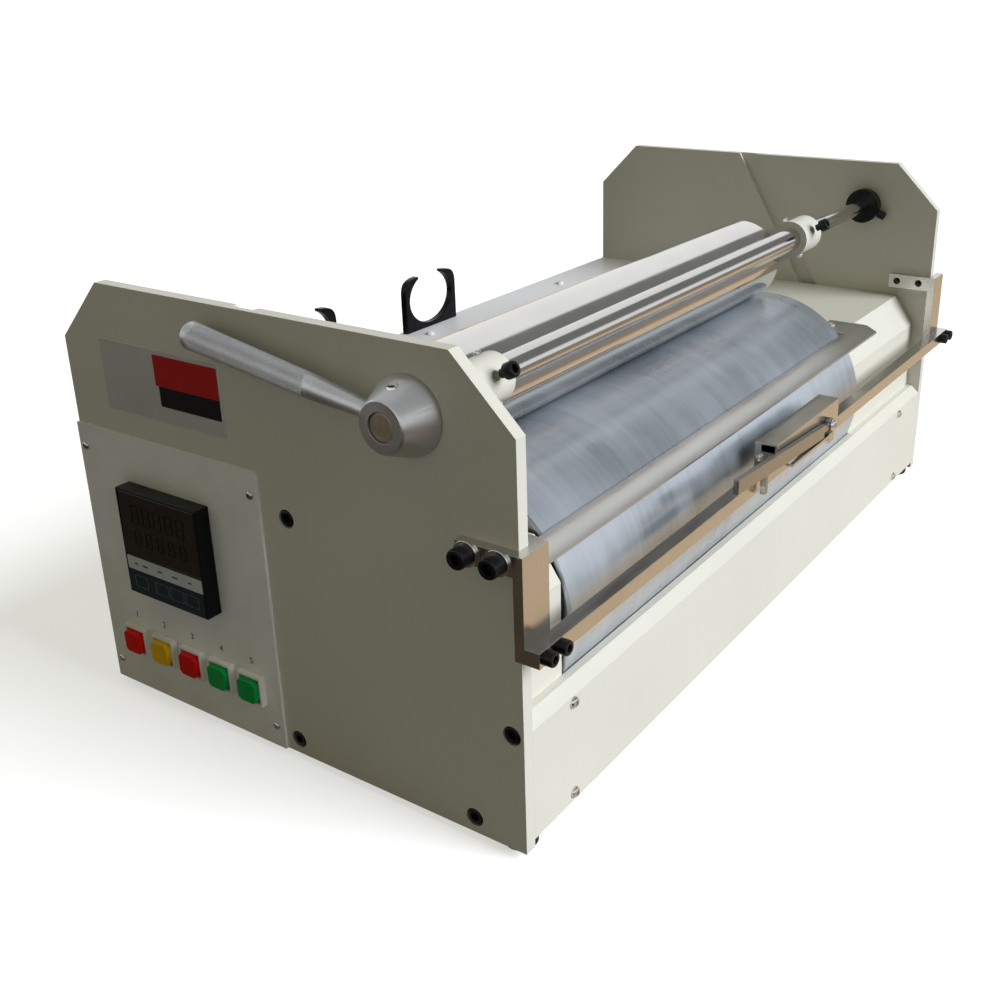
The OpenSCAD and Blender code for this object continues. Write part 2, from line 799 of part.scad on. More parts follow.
// Bent strip along the drum's upper front, on the covers by its two ears
module guard_strip() {
  lip_y = guard_back - guard_flat;
  tip = [lip_y - guard_lip_d, guard_top - guard_lip_h];
  color(steel) stand() difference() {
    union() {
      along_x(guard_x0, guard_x1)
        polygon([[guard_back, deck_z], [guard_back, guard_top], [lip_y, guard_top], tip,
                 tip - [0, guard_t], [lip_y, deck_z]]);
      block([guard_x0, lip_y, deck_z], [guard_x0 + left_ear_w, ear_y, guard_top]);
      block([guard_x1 - guard_ear_w, lip_y, deck_z], [guard_x1, ear_y, guard_top]);
    }
    for (x = ear_screw_x) translate([x, ear_screw_y, guard_top]) screw_hole(sheet_d, 2 * guard_t);
  }
}

// Rubber feet: a disc partly under the plate, and a neck up to the tray
module rubber_feet() {
  inset = foot_d / 2 + foot_inset;
  color(black) stand()
    for (side = [-1, 1], y = [inset, plate_d - inset]) translate([side * (in_x - foot_in), y, -foot_lift]) {
      cylinder(d = foot_d, h = foot_lift);
      cylinder(d = foot_neck_d, h = foot_lift + base_z - base_t);
    }
}

// Square opening for the meter's body
module meter_cut(x0, x1) {
  half = meter_body_w / 2 + fit_gap;
  block([x0, meter_at[0] - half, meter_at[1] - half], [x1, meter_at[0] + half, meter_at[1] + half]);
}

module control_panel() {
  color(alu) stand() difference() {
    block([panel_x, panel_y, 0], [-out_x, plate_d, panel_h]);
    meter_cut(panel_x - over, -out_x + over);
    for (at = button_at) rod_x(panel_x - over, -out_x + over, at, switch_d + 2 * fit_gap);
    for (y = panel_screw_y, z = panel_screw_z)
      rod_x(panel_x - over, -out_x + over, [y, z], panel_screw_d + 2 * fit_gap);
  }
}

module control_panel_screws() {
  color(chrome) stand()
    for (y = panel_screw_y, z = panel_screw_z)
      face_left([panel_x, y, z])
        dome_screw(panel_screw_d, 2 * panel_screw_d, panel_screw_h, panel_t + plate_t - tip_gap);
}

// Flat block on the meter's front, between two depths behind the front and two heights
module meter_block(from, to, z0, z1, gap) {
  x = panel_x - meter_out;
  half = meter_w / 2 - meter_rim - gap;
  block([x + from, meter_at[0] - half, z0 + gap], [x + to, meter_at[0] + half, z1 - gap]);
}

module meter_case() {
  half = meter_w / 2;
  body = meter_body_w / 2;
  x = panel_x - meter_out;
  color(black) stand() difference() {
    union() {
      block([x, meter_at[0] - half, meter_at[1] - half],
            [panel_x, meter_at[0] + half, meter_at[1] + half]);
      block([panel_x - over, meter_at[0] - body, meter_at[1] - body],
            [panel_x + meter_in, meter_at[0] + body, meter_at[1] + body]);
    }
    meter_block(-over, window_t, window_z0, window_z1, 0);
    meter_block(-over, keypad_t, keypad_z0, keypad_z1, 0);
  }
}

module meter_window() {
  color([0.10, 0.06, 0.06]) stand() meter_block(window_sink, window_t, window_z0, window_z1, fit_gap);
}

module meter_keypad() {
  color([0.55, 0.62, 0.68]) stand() meter_block(0, keypad_t, keypad_z0, keypad_z1, fit_gap);
}

// Rectangular frames round the push buttons
module button_bezels() {
  size = [bezel_w, bezel_h];
  color([0.92, 0.92, 0.90]) stand()
    for (at = button_at) translate([panel_x, at[0], at[1]]) difference() {
      along_x(-bezel_out, 0) square(size, center = true);
      along_x(-bezel_out - over, over) square(cap_hole, center = true);
    }
}

// Switches behind the push buttons, each with a bore for the button's stem
module button_switches() {
  color(black) stand() for (at = button_at) difference() {
    rod_x(panel_x, panel_x + switch_in, at, switch_d);
    rod_x(panel_x - over, panel_x + stem_in + button_travel + stem_room, at, stem_d + 2 * run_gap);
  }
}

// Push button: a cap with cut corners, and a stem into the switch
module push_button(k) {
  half = cap_size / 2;
  at = button_at[k];
  color(button_colours[k]) stand() translate([panel_x, at[0], at[1]]) {
    along_x(-bezel_out - cap_out, -cap_back)
      polygon([[-half[0] + cap_cut, -half[1]], [half[0] - cap_cut, -half[1]], [half[0], -half[1] + cap_cut],
               [half[0], half[1] - cap_cut], [half[0] - cap_cut, half[1]], [-half[0] + cap_cut, half[1]],
               [-half[0], half[1] - cap_cut], [-half[0], -half[1] + cap_cut]]);
    rod_x(-cap_back - over, stem_in, [0, 0], stem_d);
  }
}

module power_button() { push_button(0); }
module reset_button() { push_button(1); }
module stop_button() { push_button(2); }
module inch_button() { push_button(3); }
module test_button() { push_button(4); }

module nameplate() {
  color(alu) stand()
    block([-out_x - name_t, name_at[0], name_at[1]],
          [-out_x, name_at[0] + name_w, name_at[1] + name_h]);
}

// Points along a clip's inner curve, between two angles
function clip_arc(half_w, half_h, from, to, count) = [
  for (k = [0:count])
    let (a = from + (to - from) * k / count)
      [half_w * cos(a), clip_mid + half_h * sin(a)]
];

// Points along a clip's square shoulder, from its side to an angle
function clip_shoulder(half_w, half_h, to, count) = [
  for (k = [0:count])
    let (a = to * k / count)
      [half_w * pow(cos(a), 2 / clip_square), clip_mid + half_h * pow(sin(a), 2 / clip_square)]
];

// Two open clips near the deck's back edge that hold a roving bobbin
module roving_clips() {
  inner = [clip_w / 2, clip_h / 2];
  outer_w = inner[0] + clip_wall;
  inner_tip = acos(clip_mouth / 2 / inner[0]);
  outer_tip = acos(pow(clip_mouth / 2 / outer_w, clip_square / 2));
  outer_h = (inner[1] * sin(inner_tip) + clip_tip) / pow(sin(outer_tip), 2 / clip_square);
  right = clip_shoulder(outer_w, outer_h, outer_tip, outer_steps);
  left = [for (k = [outer_steps:-1:0]) [-right[k][0], right[k][1]]];
  y1 = plate_d - clip_inset;
  color(black) stand() for (side = [-1, 1]) translate([drum_mid + side * clip_pitch / 2, 0, 0])
    along_y(y1 - clip_d, y1)
      polygon(concat([[outer_w, deck_z]], right,
                     clip_arc(inner[0], inner[1], inner_tip, -180 - inner_tip, inner_steps),
                     left, [[-outer_w, deck_z]]));
}

// Angle bracket that carries one end of the rail, against a plate's left face at x.
// Its screws pass from clear_x on, and from its left face to there the hole is smaller
module rail_bracket(x, clear_x) {
  front_x1 = x - bracket_t + bracket_w;
  difference() {
    union() {
      block([x - bracket_t, -bracket_t, bracket_z - bracket_arm_h], [x, bracket_reach, bracket_z]);
      block([x - bracket_t, -bracket_t, rail_z], [front_x1, 0, bracket_z]);
    }
    for (y = bracket_screw_y) {
      rod_x(clear_x, x + over, [y, bracket_screw_z], bracket_screw_d + 2 * fit_gap);
      rod_x(x - bracket_t - over, x, [y, bracket_screw_z], pilot_d);
    }
    for (dx = rail_screw_in)
      face_front([x - bracket_t + dx, -bracket_t, rail_mid_z]) screw_hole(rail_screw_d, bracket_t + over);
  }
}

module left_rail_bracket() {
  color(chrome) stand() rail_bracket(-out_x, -out_x - bracket_t - over);
}

module right_rail_bracket() {
  color(chrome) stand() rail_bracket(in_x, in_x - bracket_t + thread_short - fit_gap);
}

// Cap screws of the brackets: the left ones from outside, the right ones through the plate
module bracket_screws() {
  color(black) stand() for (y = bracket_screw_y) {
    face_left([-out_x - bracket_t - washer_t, y, bracket_screw_z])
      cap_screw(bracket_screw_d, bracket_head_d, bracket_head_h,
                washer_t + bracket_t + plate_t - tip_gap);
    face_right([out_x + washer_t, y, bracket_screw_z])
      cap_screw(bracket_screw_d, bracket_head_d, bracket_head_h,
                washer_t + plate_t + bracket_t - thread_short);
  }
}

module bracket_washers() {
  color(chrome) stand()
    for (y = bracket_screw_y, x = [-out_x - bracket_t - washer_t, out_x]) difference() {
      rod_x(x, x + washer_t, [y, bracket_screw_z], washer_d);
      rod_x(x - over, x + washer_t + over, [y, bracket_screw_z], bracket_screw_d + 2 * fit_gap);
    }
}

module rail_bar() {
  color(chrome) stand() difference() {
    block([rail_x0, rail_y, rail_z], [rail_x1, -bracket_t, rail_top]);
    for (x = [-out_x - bracket_t, in_x - bracket_t], dx = rail_screw_in)
      face_front([x + dx, rail_y, rail_mid_z]) screw_hole(rail_screw_d, rail_size + over);
  }
}

module rail_screws() {
  color(black) stand() for (x = [-out_x - bracket_t, in_x - bracket_t], dx = rail_screw_in)
    face_front([x + dx, rail_y, rail_mid_z])
      cap_screw(rail_screw_d, rail_head_d, rail_head_h, rail_size + bracket_t - tip_gap);
}

// Folded carriage that rides on the rail: a lip and a foot in front, a skirt behind
module rail_carriage() {
  front = [carriage_y0, carriage_y0 + carriage_t];
  lip_x = carriage_x0 + lip_inset;
  color(chrome) stand() difference() {
    union() {
      block([carriage_x0, carriage_y0, carriage_top - carriage_t],
            [carriage_x1, carriage_y1, carriage_top]);
      block([carriage_x0, front[0], carriage_low], [carriage_x1, front[1], carriage_top]);
      block([lip_x, front[0], lip_low], [carriage_x1, front[1], carriage_top]);
      block([lip_x, cutter_y0, lip_low], [pivot_x + shoe_w / 2, front[1], lip_low + lip_t]);
      block([pivot_x - shoe_w / 2, cutter_y0, shoe_z[0]], [pivot_x + shoe_w / 2, front[1], shoe_z[1]]);
      block([carriage_x0, carriage_y0, carriage_low],
            [carriage_x0 + carriage_t, carriage_y1, carriage_top - carriage_t - end_open]);
      block([carriage_x1 - carriage_t, carriage_y0, carriage_low], [carriage_x1, carriage_y1, carriage_top]);
      block([carriage_x0, -bracket_t + pass_gap, rail_z], [carriage_x1, carriage_y1, carriage_top]);
    }
    face_front([pivot_x, carriage_y0, pivot_z]) screw_hole(pivot_d, carriage_t + over);
    stop_screw_axis() screw_hole(end_screw_d, carriage_t + over);
    end_screws() screw_hole(end_screw_d, end_screw_len + over);
  }
}

// Places of the two screws in the carriage's left end
module end_screws() {
  mid_y = (carriage_y0 + carriage_y1) / 2;
  for (y = [mid_y - end_screw_step, mid_y + end_screw_step])
    face_left([carriage_x0, y, carriage_low + end_screw_rise]) children();
}

// Place of the small screw beside the lever's pivot
module stop_screw_axis() {
  face_front([carriage_x1 - stop_screw_at[0], carriage_y0, carriage_low - stop_screw_at[1]]) children();
}

// Blade lever in front of the carriage, with a post under it and a pivot eye at its right end
module carriage_lever() {
  color(chrome) stand() difference() {
    along_y(cutter_y0, cutter_y1) translate([pivot_x, pivot_z]) union() {
      rotate(-cutter_rise) {
        translate([-cutter_len, cutter_over - cutter_h]) square([cutter_len - cutter_gap, cutter_h]);
        translate([-cutter_gap - over, -cutter_neck / 2]) square([cutter_gap + over, cutter_neck]);
      }
      translate([-post_at - post_w / 2, rail_z - pivot_z]) square([post_w, pivot_z - rail_z + post_top]);
      circle(r = cutter_eye_r);
    }
    face_front([pivot_x, cutter_y0, pivot_z])
      translate([0, 0, -cutter_t - over]) cylinder(d = pivot_d + 2 * run_gap, h = cutter_t + 2 * over);
  }
}

// Pivot screw of the lever, the small screw beside it and those in the carriage's left end
module carriage_screws() {
  color(chrome) stand() {
    face_front([pivot_x, cutter_y0 - pass_gap / 2, pivot_z])
      dome_screw(pivot_d, pivot_head_d, pivot_head_h - pass_gap / 2,
                 cutter_t + pass_gap / 2 + pass_gap + carriage_t);
    stop_screw_axis() dome_screw(end_screw_d, end_screw_head, sheet_head_h, carriage_t);
    end_screws() dome_screw(end_screw_d, end_screw_head, sheet_head_h, end_screw_len);
  }
}

// Bushes of the lift shaft, pressed into the two plates
module lift_bushes() {
  color([0.72, 0.55, 0.30]) stand() {
    lift_bush(-out_x, -in_x, shaft_d);
    lift_bush(in_x, out_x, shaft_end_d);
  }
}

module lift_bush(x0, x1, bore) {
  difference() {
    rod_x(x0, x1, [lift_y, lift_z], bore + 2 * bush_wall);
    rod_x(x0 - over, x1 + over, [lift_y, lift_z], bore + 2 * run_gap);
  }
}

// Fixed axle of the drum, its ends in the plates' grooves
module drum_axle() {
  shoulder = in_x - 2 * pass_gap;
  tip = in_x + groove_depth - pass_gap;
  color(steel) stand() {
    rod_x(-shoulder, shoulder, [drum_y, drum_z], axle_d);
    rod_x(-tip, tip, [drum_y, drum_z], axle_end_d);
  }
}

module drum_shell() {
  color(zinc) stand() difference() {
    rod_x(drum_x0, drum_x1, [drum_y, drum_z], 2 * drum_r);
    rod_x(drum_x0 - over, drum_x1 + over, [drum_y, drum_z], 2 * (drum_r - drum_wall));
  }
}

// Discs in the drum's two ends
module drum_discs() {
  color(alu) stand() for (x = disc_x) difference() {
    rod_x(x, x + disc_t, [drum_y, drum_z], 2 * (drum_r - drum_wall - fit_gap));
    rod_x(x - over, x + disc_t + over, [drum_y, drum_z], bearing_d);
  }
}

module drum_bearings() {
  color(steel) stand() for (x = disc_x) difference() {
    rod_x(x, x + disc_t, [drum_y, drum_z], bearing_d - 2 * fit_gap);
    rod_x(x - over, x + disc_t + over, [drum_y, drum_z], axle_d + 2 * run_gap);
  }
}

// Pulley section along x: a belt track between two rims
module pulley(x0, at, r) {
  rod_x(x0, x0 + pulley_w, at, 2 * r);
  for (x = [x0, x0 + pulley_w - pulley_rim_w]) rod_x(x, x + pulley_rim_w, at, 2 * (r + pulley_rim));
}

// Pulley on the drum's right disc, clear of the fixed axle
module drum_pulley() {
  color(alu) stand() difference() {
    union() {
      pulley(pulley_x, [drum_y, drum_z], drum_pulley_r);
      rod_x(disc_x[1] + disc_t, pulley_x + over, [drum_y, drum_z],
            bearing_d + 2 * pulley_hub_wall);
    }
    rod_x(disc_x[1], pulley_x + pulley_w + over, [drum_y, drum_z], axle_d + 2 * axle_clear);
  }
}

// Slotted disc on the drum's left disc, which the sensor counts
module slotted_disc() {
  at = [drum_y, drum_z];
  color(black) stand() difference() {
    union() {
      rod_x(slot_disc_x, slot_disc_x + slot_disc_t, at, 2 * slot_disc_r);
      rod_x(slot_disc_x, disc_x[0], at, bearing_d + 2 * slot_hub_wall);
    }
    rod_x(slot_disc_x - over, disc_x[0] + over, at, axle_d + 2 * axle_clear);
    for (k = [0:slot_count - 1])
      translate([slot_disc_x - over, at[0], at[1]]) rotate([k * 360 / slot_count, 0, 0])
        translate([0, slot_disc_r - slot_edge - slot_size[0], -slot_size[1] / 2])
          cube([slot_disc_t + 2 * over, slot_size[0], slot_size[1]]);
  }
}

// Fork on the left plate that straddles the slotted disc
module photo_sensor() {
  x0 = slot_disc_x - sensor_gap;
  x1 = slot_disc_x + slot_disc_t + sensor_gap;
  y0 = drum_y + slot_disc_r - sensor_lap;
  z0 = drum_z - sensor_size[1] / 2;
  z1 = z0 + sensor_size[1];
  color(black) stand() difference() {
    block([-in_x, y0, z0], [x1 + sensor_wall, y0 + sensor_size[0], z1]);
    block([x0, y0 - over, z0 - over], [x1, y0 + sensor_slot, z1 + over]);
  }
}

// Angle plate on the base tray that carries the motor
module motor_bracket() {
  half = motor_d / 2 + motor_margin;
  color(steel) stand() difference() {
    union() {
      block([motor_plate_x, motor_at[0] - half, base_z],
            [motor_plate_x + motor_plate_t, motor_at[0] + half, motor_at[1] + half]);
      block([motor_plate_x, motor_at[0] - half, base_z],
            [motor_plate_x + motor_foot, motor_at[0] + half, base_z + motor_plate_t]);
    }
    rod_x(motor_plate_x - over, motor_plate_x + motor_plate_t + over, motor_at, motor_spigot_d);
  }
}

module drive_motor() {
  x0 = motor_plate_x + motor_plate_t;
  color(steel) stand() difference() {
    union() {
      rod_x(x0, x0 + motor_len, motor_at, motor_d);
      rod_x(motor_plate_x, x0 + over, motor_at, motor_spigot_d - 2 * fit_gap);
    }
    rod_x(motor_plate_x - over, x0 + motor_len / 2, motor_at, motor_shaft_d + 2 * run_gap);
  }
}

// Pulley on the motor's shaft
module motor_pulley() {
  color(alu) stand() {
    pulley(pulley_x, motor_at, motor_pulley_r);
    rod_x(pulley_x, motor_plate_x + motor_plate_t + motor_len / 2 - pass_gap, motor_at, motor_shaft_d);
  }
}

// Outline round both pulleys at a distance out, with straight sides
module belt_outline(out) {
  run = [motor_at[0] - drum_y, motor_at[1] - drum_z];
  span = norm(run);
  turn = atan2(run[1], run[0]);
  lean = acos((drum_pulley_r - motor_pulley_r) / span);
  big = drum_pulley_r + out;
  small = motor_pulley_r + out;
  translate([drum_y, drum_z]) rotate(turn) {
    circle(r = big);
    translate([span, 0]) circle(r = small);
    polygon([big * [cos(lean), sin(lean)], big * [cos(lean), -sin(lean)],
             [span, 0] + small * [cos(lean), -sin(lean)], [span, 0] + small * [cos(lean), sin(lean)]]);
  }
}

module drive_belt() {
  x0 = pulley_x + pulley_rim_w + pass_gap;
  color(black) stand() along_x(x0, x0 + belt_w) difference() {
    belt_outline(belt_gap + belt_t);
    belt_outline(belt_gap);
  }
}

// Control board on posts, with its transformer and capacitors
module control_board() {
  y0 = low_bars[1] + low_bar_w / 2 + board_gap;
  y1 = low_bars[2] - low_bar_w / 2 - board_gap;
  depth = y1 - y0;
  color([0.10, 0.35, 0.18]) stand() translate([board_inset - in_x, y0, base_z + board_lift]) {
    cube([board_len, depth, board_t]);
    for (x = [post_inset, board_len - post_inset], y = [post_inset, depth - post_inset])
      translate([x, y, -board_lift]) cylinder(d = post_d, h = board_lift);
    translate(coil_at) cube(coil_size);
    for (k = [0:2])
      translate([capacitor_at[0] + k * capacitor_step, capacitor_at[1], 0])
        cylinder(d = capacitor_d, h = capacitor_h);
    translate([terminal_x, depth - terminal_inset - terminal_size[1], 0]) cube(terminal_size);
  }
}

// Block in the back sheet round the power inlet's centre
module inlet_block(y0, y1, size) {
  block([inlet_at[0] - size[0] / 2, y0, inlet_at[1] - size[1] / 2],
        [inlet_at[0] + size[0] / 2, y1, inlet_at[1] + size[1] / 2]);
}

// Power inlet: flange, body and the recess with three pins
module power_inlet() {
  y1 = plate_d + inlet_out;
  y0 = plate_d - inlet_deep;
  color(black) stand() {
    difference() {
      union() {
        inlet_block(plate_d, y1, inlet_size);
        inlet_block(y0, plate_d + over, inlet_body);
      }
      inlet_block(y0 + inlet_floor, y1 + over, inlet_body - 2 * [inlet_wall, inlet_wall]);
    }
    for (k = [-1:1])
      inlet_pin(inlet_at + [k * pin_step[0], (1 - 2 * abs(k)) * pin_step[1]], y0 + inlet_floor - over);
  }
}

module inlet_pin(at, y0) {
  along_y(y0, plate_d - pin_short) translate(at) square(pin_size, center = true);
}

// Cone-shaped hub of the lever, bored for the shaft and for the handle
module lever_hub() {
  bore = shaft_d / 2 + fit_gap;
  color(alu) stand() difference() {
    translate([hub_x, lift_y, lift_z]) rotate([0, -90, 0]) rotate_extrude()
      polygon([[bore, 0], [hub_d / 2, 0], [hub_d / 2, hub_skirt],
               [hub_front_d / 2 + hub_edge, hub_len - hub_edge], [hub_front_d / 2, hub_len],
               [bore, hub_len]]);
    handle_axis() translate([0, 0, handle_root - fit_gap]) cylinder(d = neck_d + 2 * fit_gap, h = hub_d);
    hub_screw_axis() translate([0, 0, shaft_d / 2]) cylinder(d = hub_set_d + 2 * fit_gap, h = hub_d);
  }
}

// Axis of the handle, as z
module handle_axis() {
  translate([handle_x, lift_y, lift_z]) rotate([handle_rise - 90, 0, 0]) children();
}

// Axis of the hub's set screw, as z, turned up from the handle
module hub_screw_axis() {
  translate([handle_x, lift_y, lift_z]) rotate([handle_rise + hub_screw_turn - 90, 0, 0]) children();
}

// Handle: a neck that widens from the hub on, and a grip that widens to a rounded end
module lever_handle() {
  neck = [[0, handle_root], [neck_d / 2, handle_root], [neck_d / 2, hub_d / 2],
          [neck_d / 2 + grip_step, grip_from]];
  tip = [for (a = [0:30:90])
    [grip_d / 2 - grip_round * (1 - cos(a)), grip_to - grip_round * (1 - sin(a))]];
  color(alu) stand() handle_axis() rotate_extrude() polygon(concat(neck, tip, [[0, grip_to]]));
}

// Stepped shaft from the lever's hub to the right plate
module lift_shaft() {
  color(chrome) stand() {
    rod_x(hub_x - hub_len + shaft_sink, right_boss[1], [lift_y, lift_z], shaft_d);
    rod_x(right_boss[1] - over, out_x - tip_gap, [lift_y, lift_z], shaft_end_d);
  }
}

module lift_tube() {
  color(chrome) stand() difference() {
    rod_x(left_boss[1], right_boss[0], [lift_y, lift_z], tube_d);
    rod_x(left_boss[1] - over, right_boss[0] + over, [lift_y, lift_z], shaft_d + 2 * fit_gap);
  }
}

// Outline of a lift arm in y and z: boss, journal end and the straight sides between
module arm_outline() {
  lean = acos((boss_d / 2 - arm_end_r) / arm_len);
  translate([lift_y, lift_z]) rotate(arm_turn) {
    circle(d = boss_d);
    translate([arm_len, 0]) circle(r = arm_end_r);
    polygon([boss_d / 2 * [cos(lean), sin(lean)], boss_d / 2 * [cos(lean), -sin(lean)],
             [arm_len, 0] + arm_end_r * [cos(lean), -sin(lean)],
             [arm_len, 0] + arm_end_r * [cos(lean), sin(lean)]]);
  }
}

// Lift arm: a long boss on the shaft and a plate to the roller's journal
module lift_arm(boss, plate_x) {
  mid = (boss[0] + boss[1]) / 2;
  color(cream) stand() difference() {
    union() {
      rod_x(boss[0], boss[1], [lift_y, lift_z], boss_d);
      along_x(plate_x, plate_x + arm_t) arm_outline();
    }
    rod_x(boss[0] - over, boss[1] + over, [lift_y, lift_z], shaft_d + 2 * fit_gap);
    rod_x(plate_x - over, plate_x + arm_t + over, [roller_y, roller_z], journal_d + 2 * run_gap);
    clamp_axis(mid) translate([0, 0, shaft_d / 2]) cylinder(d = clamp_d + 2 * fit_gap, h = boss_d);
    for (turn = set_turns) set_axis(plate_x + arm_t / 2, turn) translate([0, 0, shaft_d / 2])
      cylinder(d = set_d + 2 * fit_gap, h = boss_d);
  }
}

module left_lift_arm() { lift_arm(left_boss, arm_x[0]); }
module right_lift_arm() { lift_arm(right_boss, arm_x[1]); }

// Axis of a clamp screw, as z, to the front and up from the lift axis
module clamp_axis(x) {
  translate([x, lift_y, lift_z]) rotate([90 - clamp_rise, 0, 0]) children();
}

// Axis of a boss's set screw, as z, square to its clamp screw: to the back and up, or opposite
module set_axis(x, turn) {
  translate([x, lift_y, lift_z]) rotate([turn - clamp_rise, 0, 0]) children();
}

// Axis of the collar's screw, as z, to the front and down from the lift axis
module collar_axis() {
  translate([collar_x, lift_y, lift_z]) rotate([90 + collar_dip, 0, 0]) children();
}

// Collar on the shaft against the right plate
module shaft_collar() {
  color(black) stand() difference() {
    rod_x(collar_x - collar_w / 2, collar_x + collar_w / 2, [lift_y, lift_z], collar_d);
    rod_x(collar_x - collar_w, collar_x + collar_w, [lift_y, lift_z], shaft_end_d + 2 * fit_gap);
    collar_axis() translate([0, 0, shaft_end_d / 2])
      cylinder(d = collar_screw_d + 2 * fit_gap, h = collar_d);
  }
}

// Black cap screws that clamp the bosses and the collar to the shaft
module lift_clamp_screws() {
  deep = boss_d / 2 + clamp_neck - shaft_d / 2 - 2 * fit_gap;
  color(black) stand() {
    for (boss = [left_boss, right_boss])
      clamp_axis((boss[0] + boss[1]) / 2) translate([0, 0, boss_d / 2 + clamp_neck])
        cap_screw(clamp_d, clamp_head_d, clamp_head_h, deep);
    collar_axis() translate([0, 0, collar_d / 2 + collar_neck])
      cap_screw(collar_screw_d, collar_head_d, collar_screw_d,
                collar_d / 2 + collar_neck - shaft_end_d / 2 - 2 * fit_gap);
  }
}

// Small bright screws in the bosses and in the lever's hub
module lift_set_screws() {
  color(chrome) stand() {
    for (x = arm_x, turn = set_turns)
      set_axis(x + arm_t / 2, turn) translate([0, 0, boss_d / 2 + set_seat])
        dome_screw(set_d, set_head_d, set_head_h, boss_d / 2 + set_seat - shaft_d / 2 - 2 * fit_gap);
    hub_screw_axis() translate([0, 0, shaft_d / 2 + 2 * fit_gap]) cylinder(d = hub_set_d, h = hub_set_len);
  }
}

// Polished roller with a journal at each end
module press_roller() {
  at = [roller_y, roller_z];
  half = roller_len / 2;
  color(chrome) stand() {
    rod_x(drum_mid - half, drum_mid + half, at, roller_d);
    rod_x(drum_mid - boss_in - arm_t, drum_mid + boss_in + arm_t, at, journal_d);
  }
}

left_side_plate();
right_side_plate();
base_tray();
tie_bars();
side_plate_screws();
front_cover();
left_cover();
right_cover();
rear_deck();
rear_panel();
cover_screws();
guard_strip();
rubber_feet();
control_panel();
control_panel_screws();
meter_case();
meter_window();
meter_keypad();
button_bezels();
button_switches();
nameplate();
roving_clips();
left_rail_bracket();
right_rail_bracket();
bracket_screws();
bracket_washers();
rail_bar();
rail_screws();
lift_bushes();
drum_axle();
motor_bracket();
drive_motor();
drive_belt();
photo_sensor();
control_board();
power_inlet();
drum_shell();
drum_discs();
drum_bearings();
drum_pulley();
slotted_disc();
motor_pulley();
lever_hub();
lever_handle();
lift_shaft();
lift_tube();
left_lift_arm();
right_lift_arm();
shaft_collar();
lift_clamp_screws();
lift_set_screws();
press_roller();
power_button();
reset_button();
stop_button();
inch_button();
test_button();
rail_carriage();
carriage_lever();
carriage_screws();
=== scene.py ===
"""Looks of a roving length tester: paint, metals, fasteners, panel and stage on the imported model."""
import json
from functools import cache
from math import cos, pi, radians, sin

import bmesh
import bpy
from bpy.props import FloatProperty, FloatVectorProperty, IntProperty, PointerProperty
from mathutils import Matrix, Vector


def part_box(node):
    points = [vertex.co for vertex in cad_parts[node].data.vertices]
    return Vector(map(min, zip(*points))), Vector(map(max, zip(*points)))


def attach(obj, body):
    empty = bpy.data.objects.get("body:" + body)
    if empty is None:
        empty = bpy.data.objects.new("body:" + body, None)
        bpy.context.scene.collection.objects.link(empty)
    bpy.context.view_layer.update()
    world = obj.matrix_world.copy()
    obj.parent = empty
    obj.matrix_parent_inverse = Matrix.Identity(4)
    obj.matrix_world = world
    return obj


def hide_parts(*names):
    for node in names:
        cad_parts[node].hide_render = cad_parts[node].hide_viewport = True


bl_info = {
    "name": "Roving Length Tester",
    "version": (1, 0, 0),
    "blender": (4, 5, 0),
    "location": "View3D > Sidebar > Tester",
    "description": "Dresses the packed roving length tester and sets its stage",
    "category": "Object",
}

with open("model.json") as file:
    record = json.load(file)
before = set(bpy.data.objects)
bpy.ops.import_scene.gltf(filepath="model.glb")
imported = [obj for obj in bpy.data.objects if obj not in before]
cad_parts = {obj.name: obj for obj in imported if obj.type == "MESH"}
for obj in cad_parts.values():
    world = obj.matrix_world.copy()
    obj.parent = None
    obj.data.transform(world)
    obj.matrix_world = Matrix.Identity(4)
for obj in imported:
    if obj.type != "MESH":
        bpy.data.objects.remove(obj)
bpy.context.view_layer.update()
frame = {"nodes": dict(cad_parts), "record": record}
BEHAVIOUR = frame["record"]["behaviour"]
BODY_OF = {node: body for body, nodes in BEHAVIOUR["bodies"].items() for node in nodes}
JOINT = {joint["name"]: joint for joint in BEHAVIOUR["joints"]}
LIFT_AXIS = Vector(JOINT["lift_swing"]["pos_m"])
DRUM_AXIS = Vector(JOINT["drum_spin"]["pos_m"])
ROLLER_AXIS = Vector(JOINT["roller_spin"]["pos_m"])
KEYS = ("power", "reset", "stop", "inch", "test")
LEFT = Vector((-1, 0, 0))
RIGHT = Vector((1, 0, 0))
FRONT = Vector((0, -1, 0))
UP = Vector((0, 0, 1))
WELD = 1e-6

# Angles past which an edge is shaded sharp, and the one under which CAD triangles lie in one face.
CREASE = radians(30)
DRESSED_CREASE = radians(50)
SCREW_CREASE = radians(38)
FOOT_CREASE = radians(40)
KNURL_CREASE = radians(14)
ONE_FACE = radians(0.5)

# Heights of the screws' heads in the CAD, and the turn from one screw to the next.
SOCKET_HEAD = 0.006
BRACKET_HEAD = 0.008
RAIL_HEAD = 0.0055
DOME_HEAD = 0.0026
PANEL_HEAD = 0.0016
GRUB_LENGTH = 0.006
SCREW_TWIST = 0.7

# Sides of the turned pieces, and points of the grip's mesh to each ridge.
DRUM_SIDES = 192
ROLLER_SIDES = 160
SHAFT_SIDES = 96
FOOT_SIDES = 64
RIDGE_POINTS = 4

# Share of a rounded corner's size at its middle point, and the rounding of printed films.
CORNER_SAG = 0.3
FILM_EDGE = 0.0001


def tint(name, default, text):
    """Return a colour property."""
    return FloatVectorProperty(name=name, description=text, subtype="COLOR", size=3, min=0, max=1,
                               default=default)


def length(name, default, text):
    """Return a length property in metres."""
    return FloatProperty(name=name, description=text, subtype="DISTANCE", unit="LENGTH", min=0,
                         default=default)


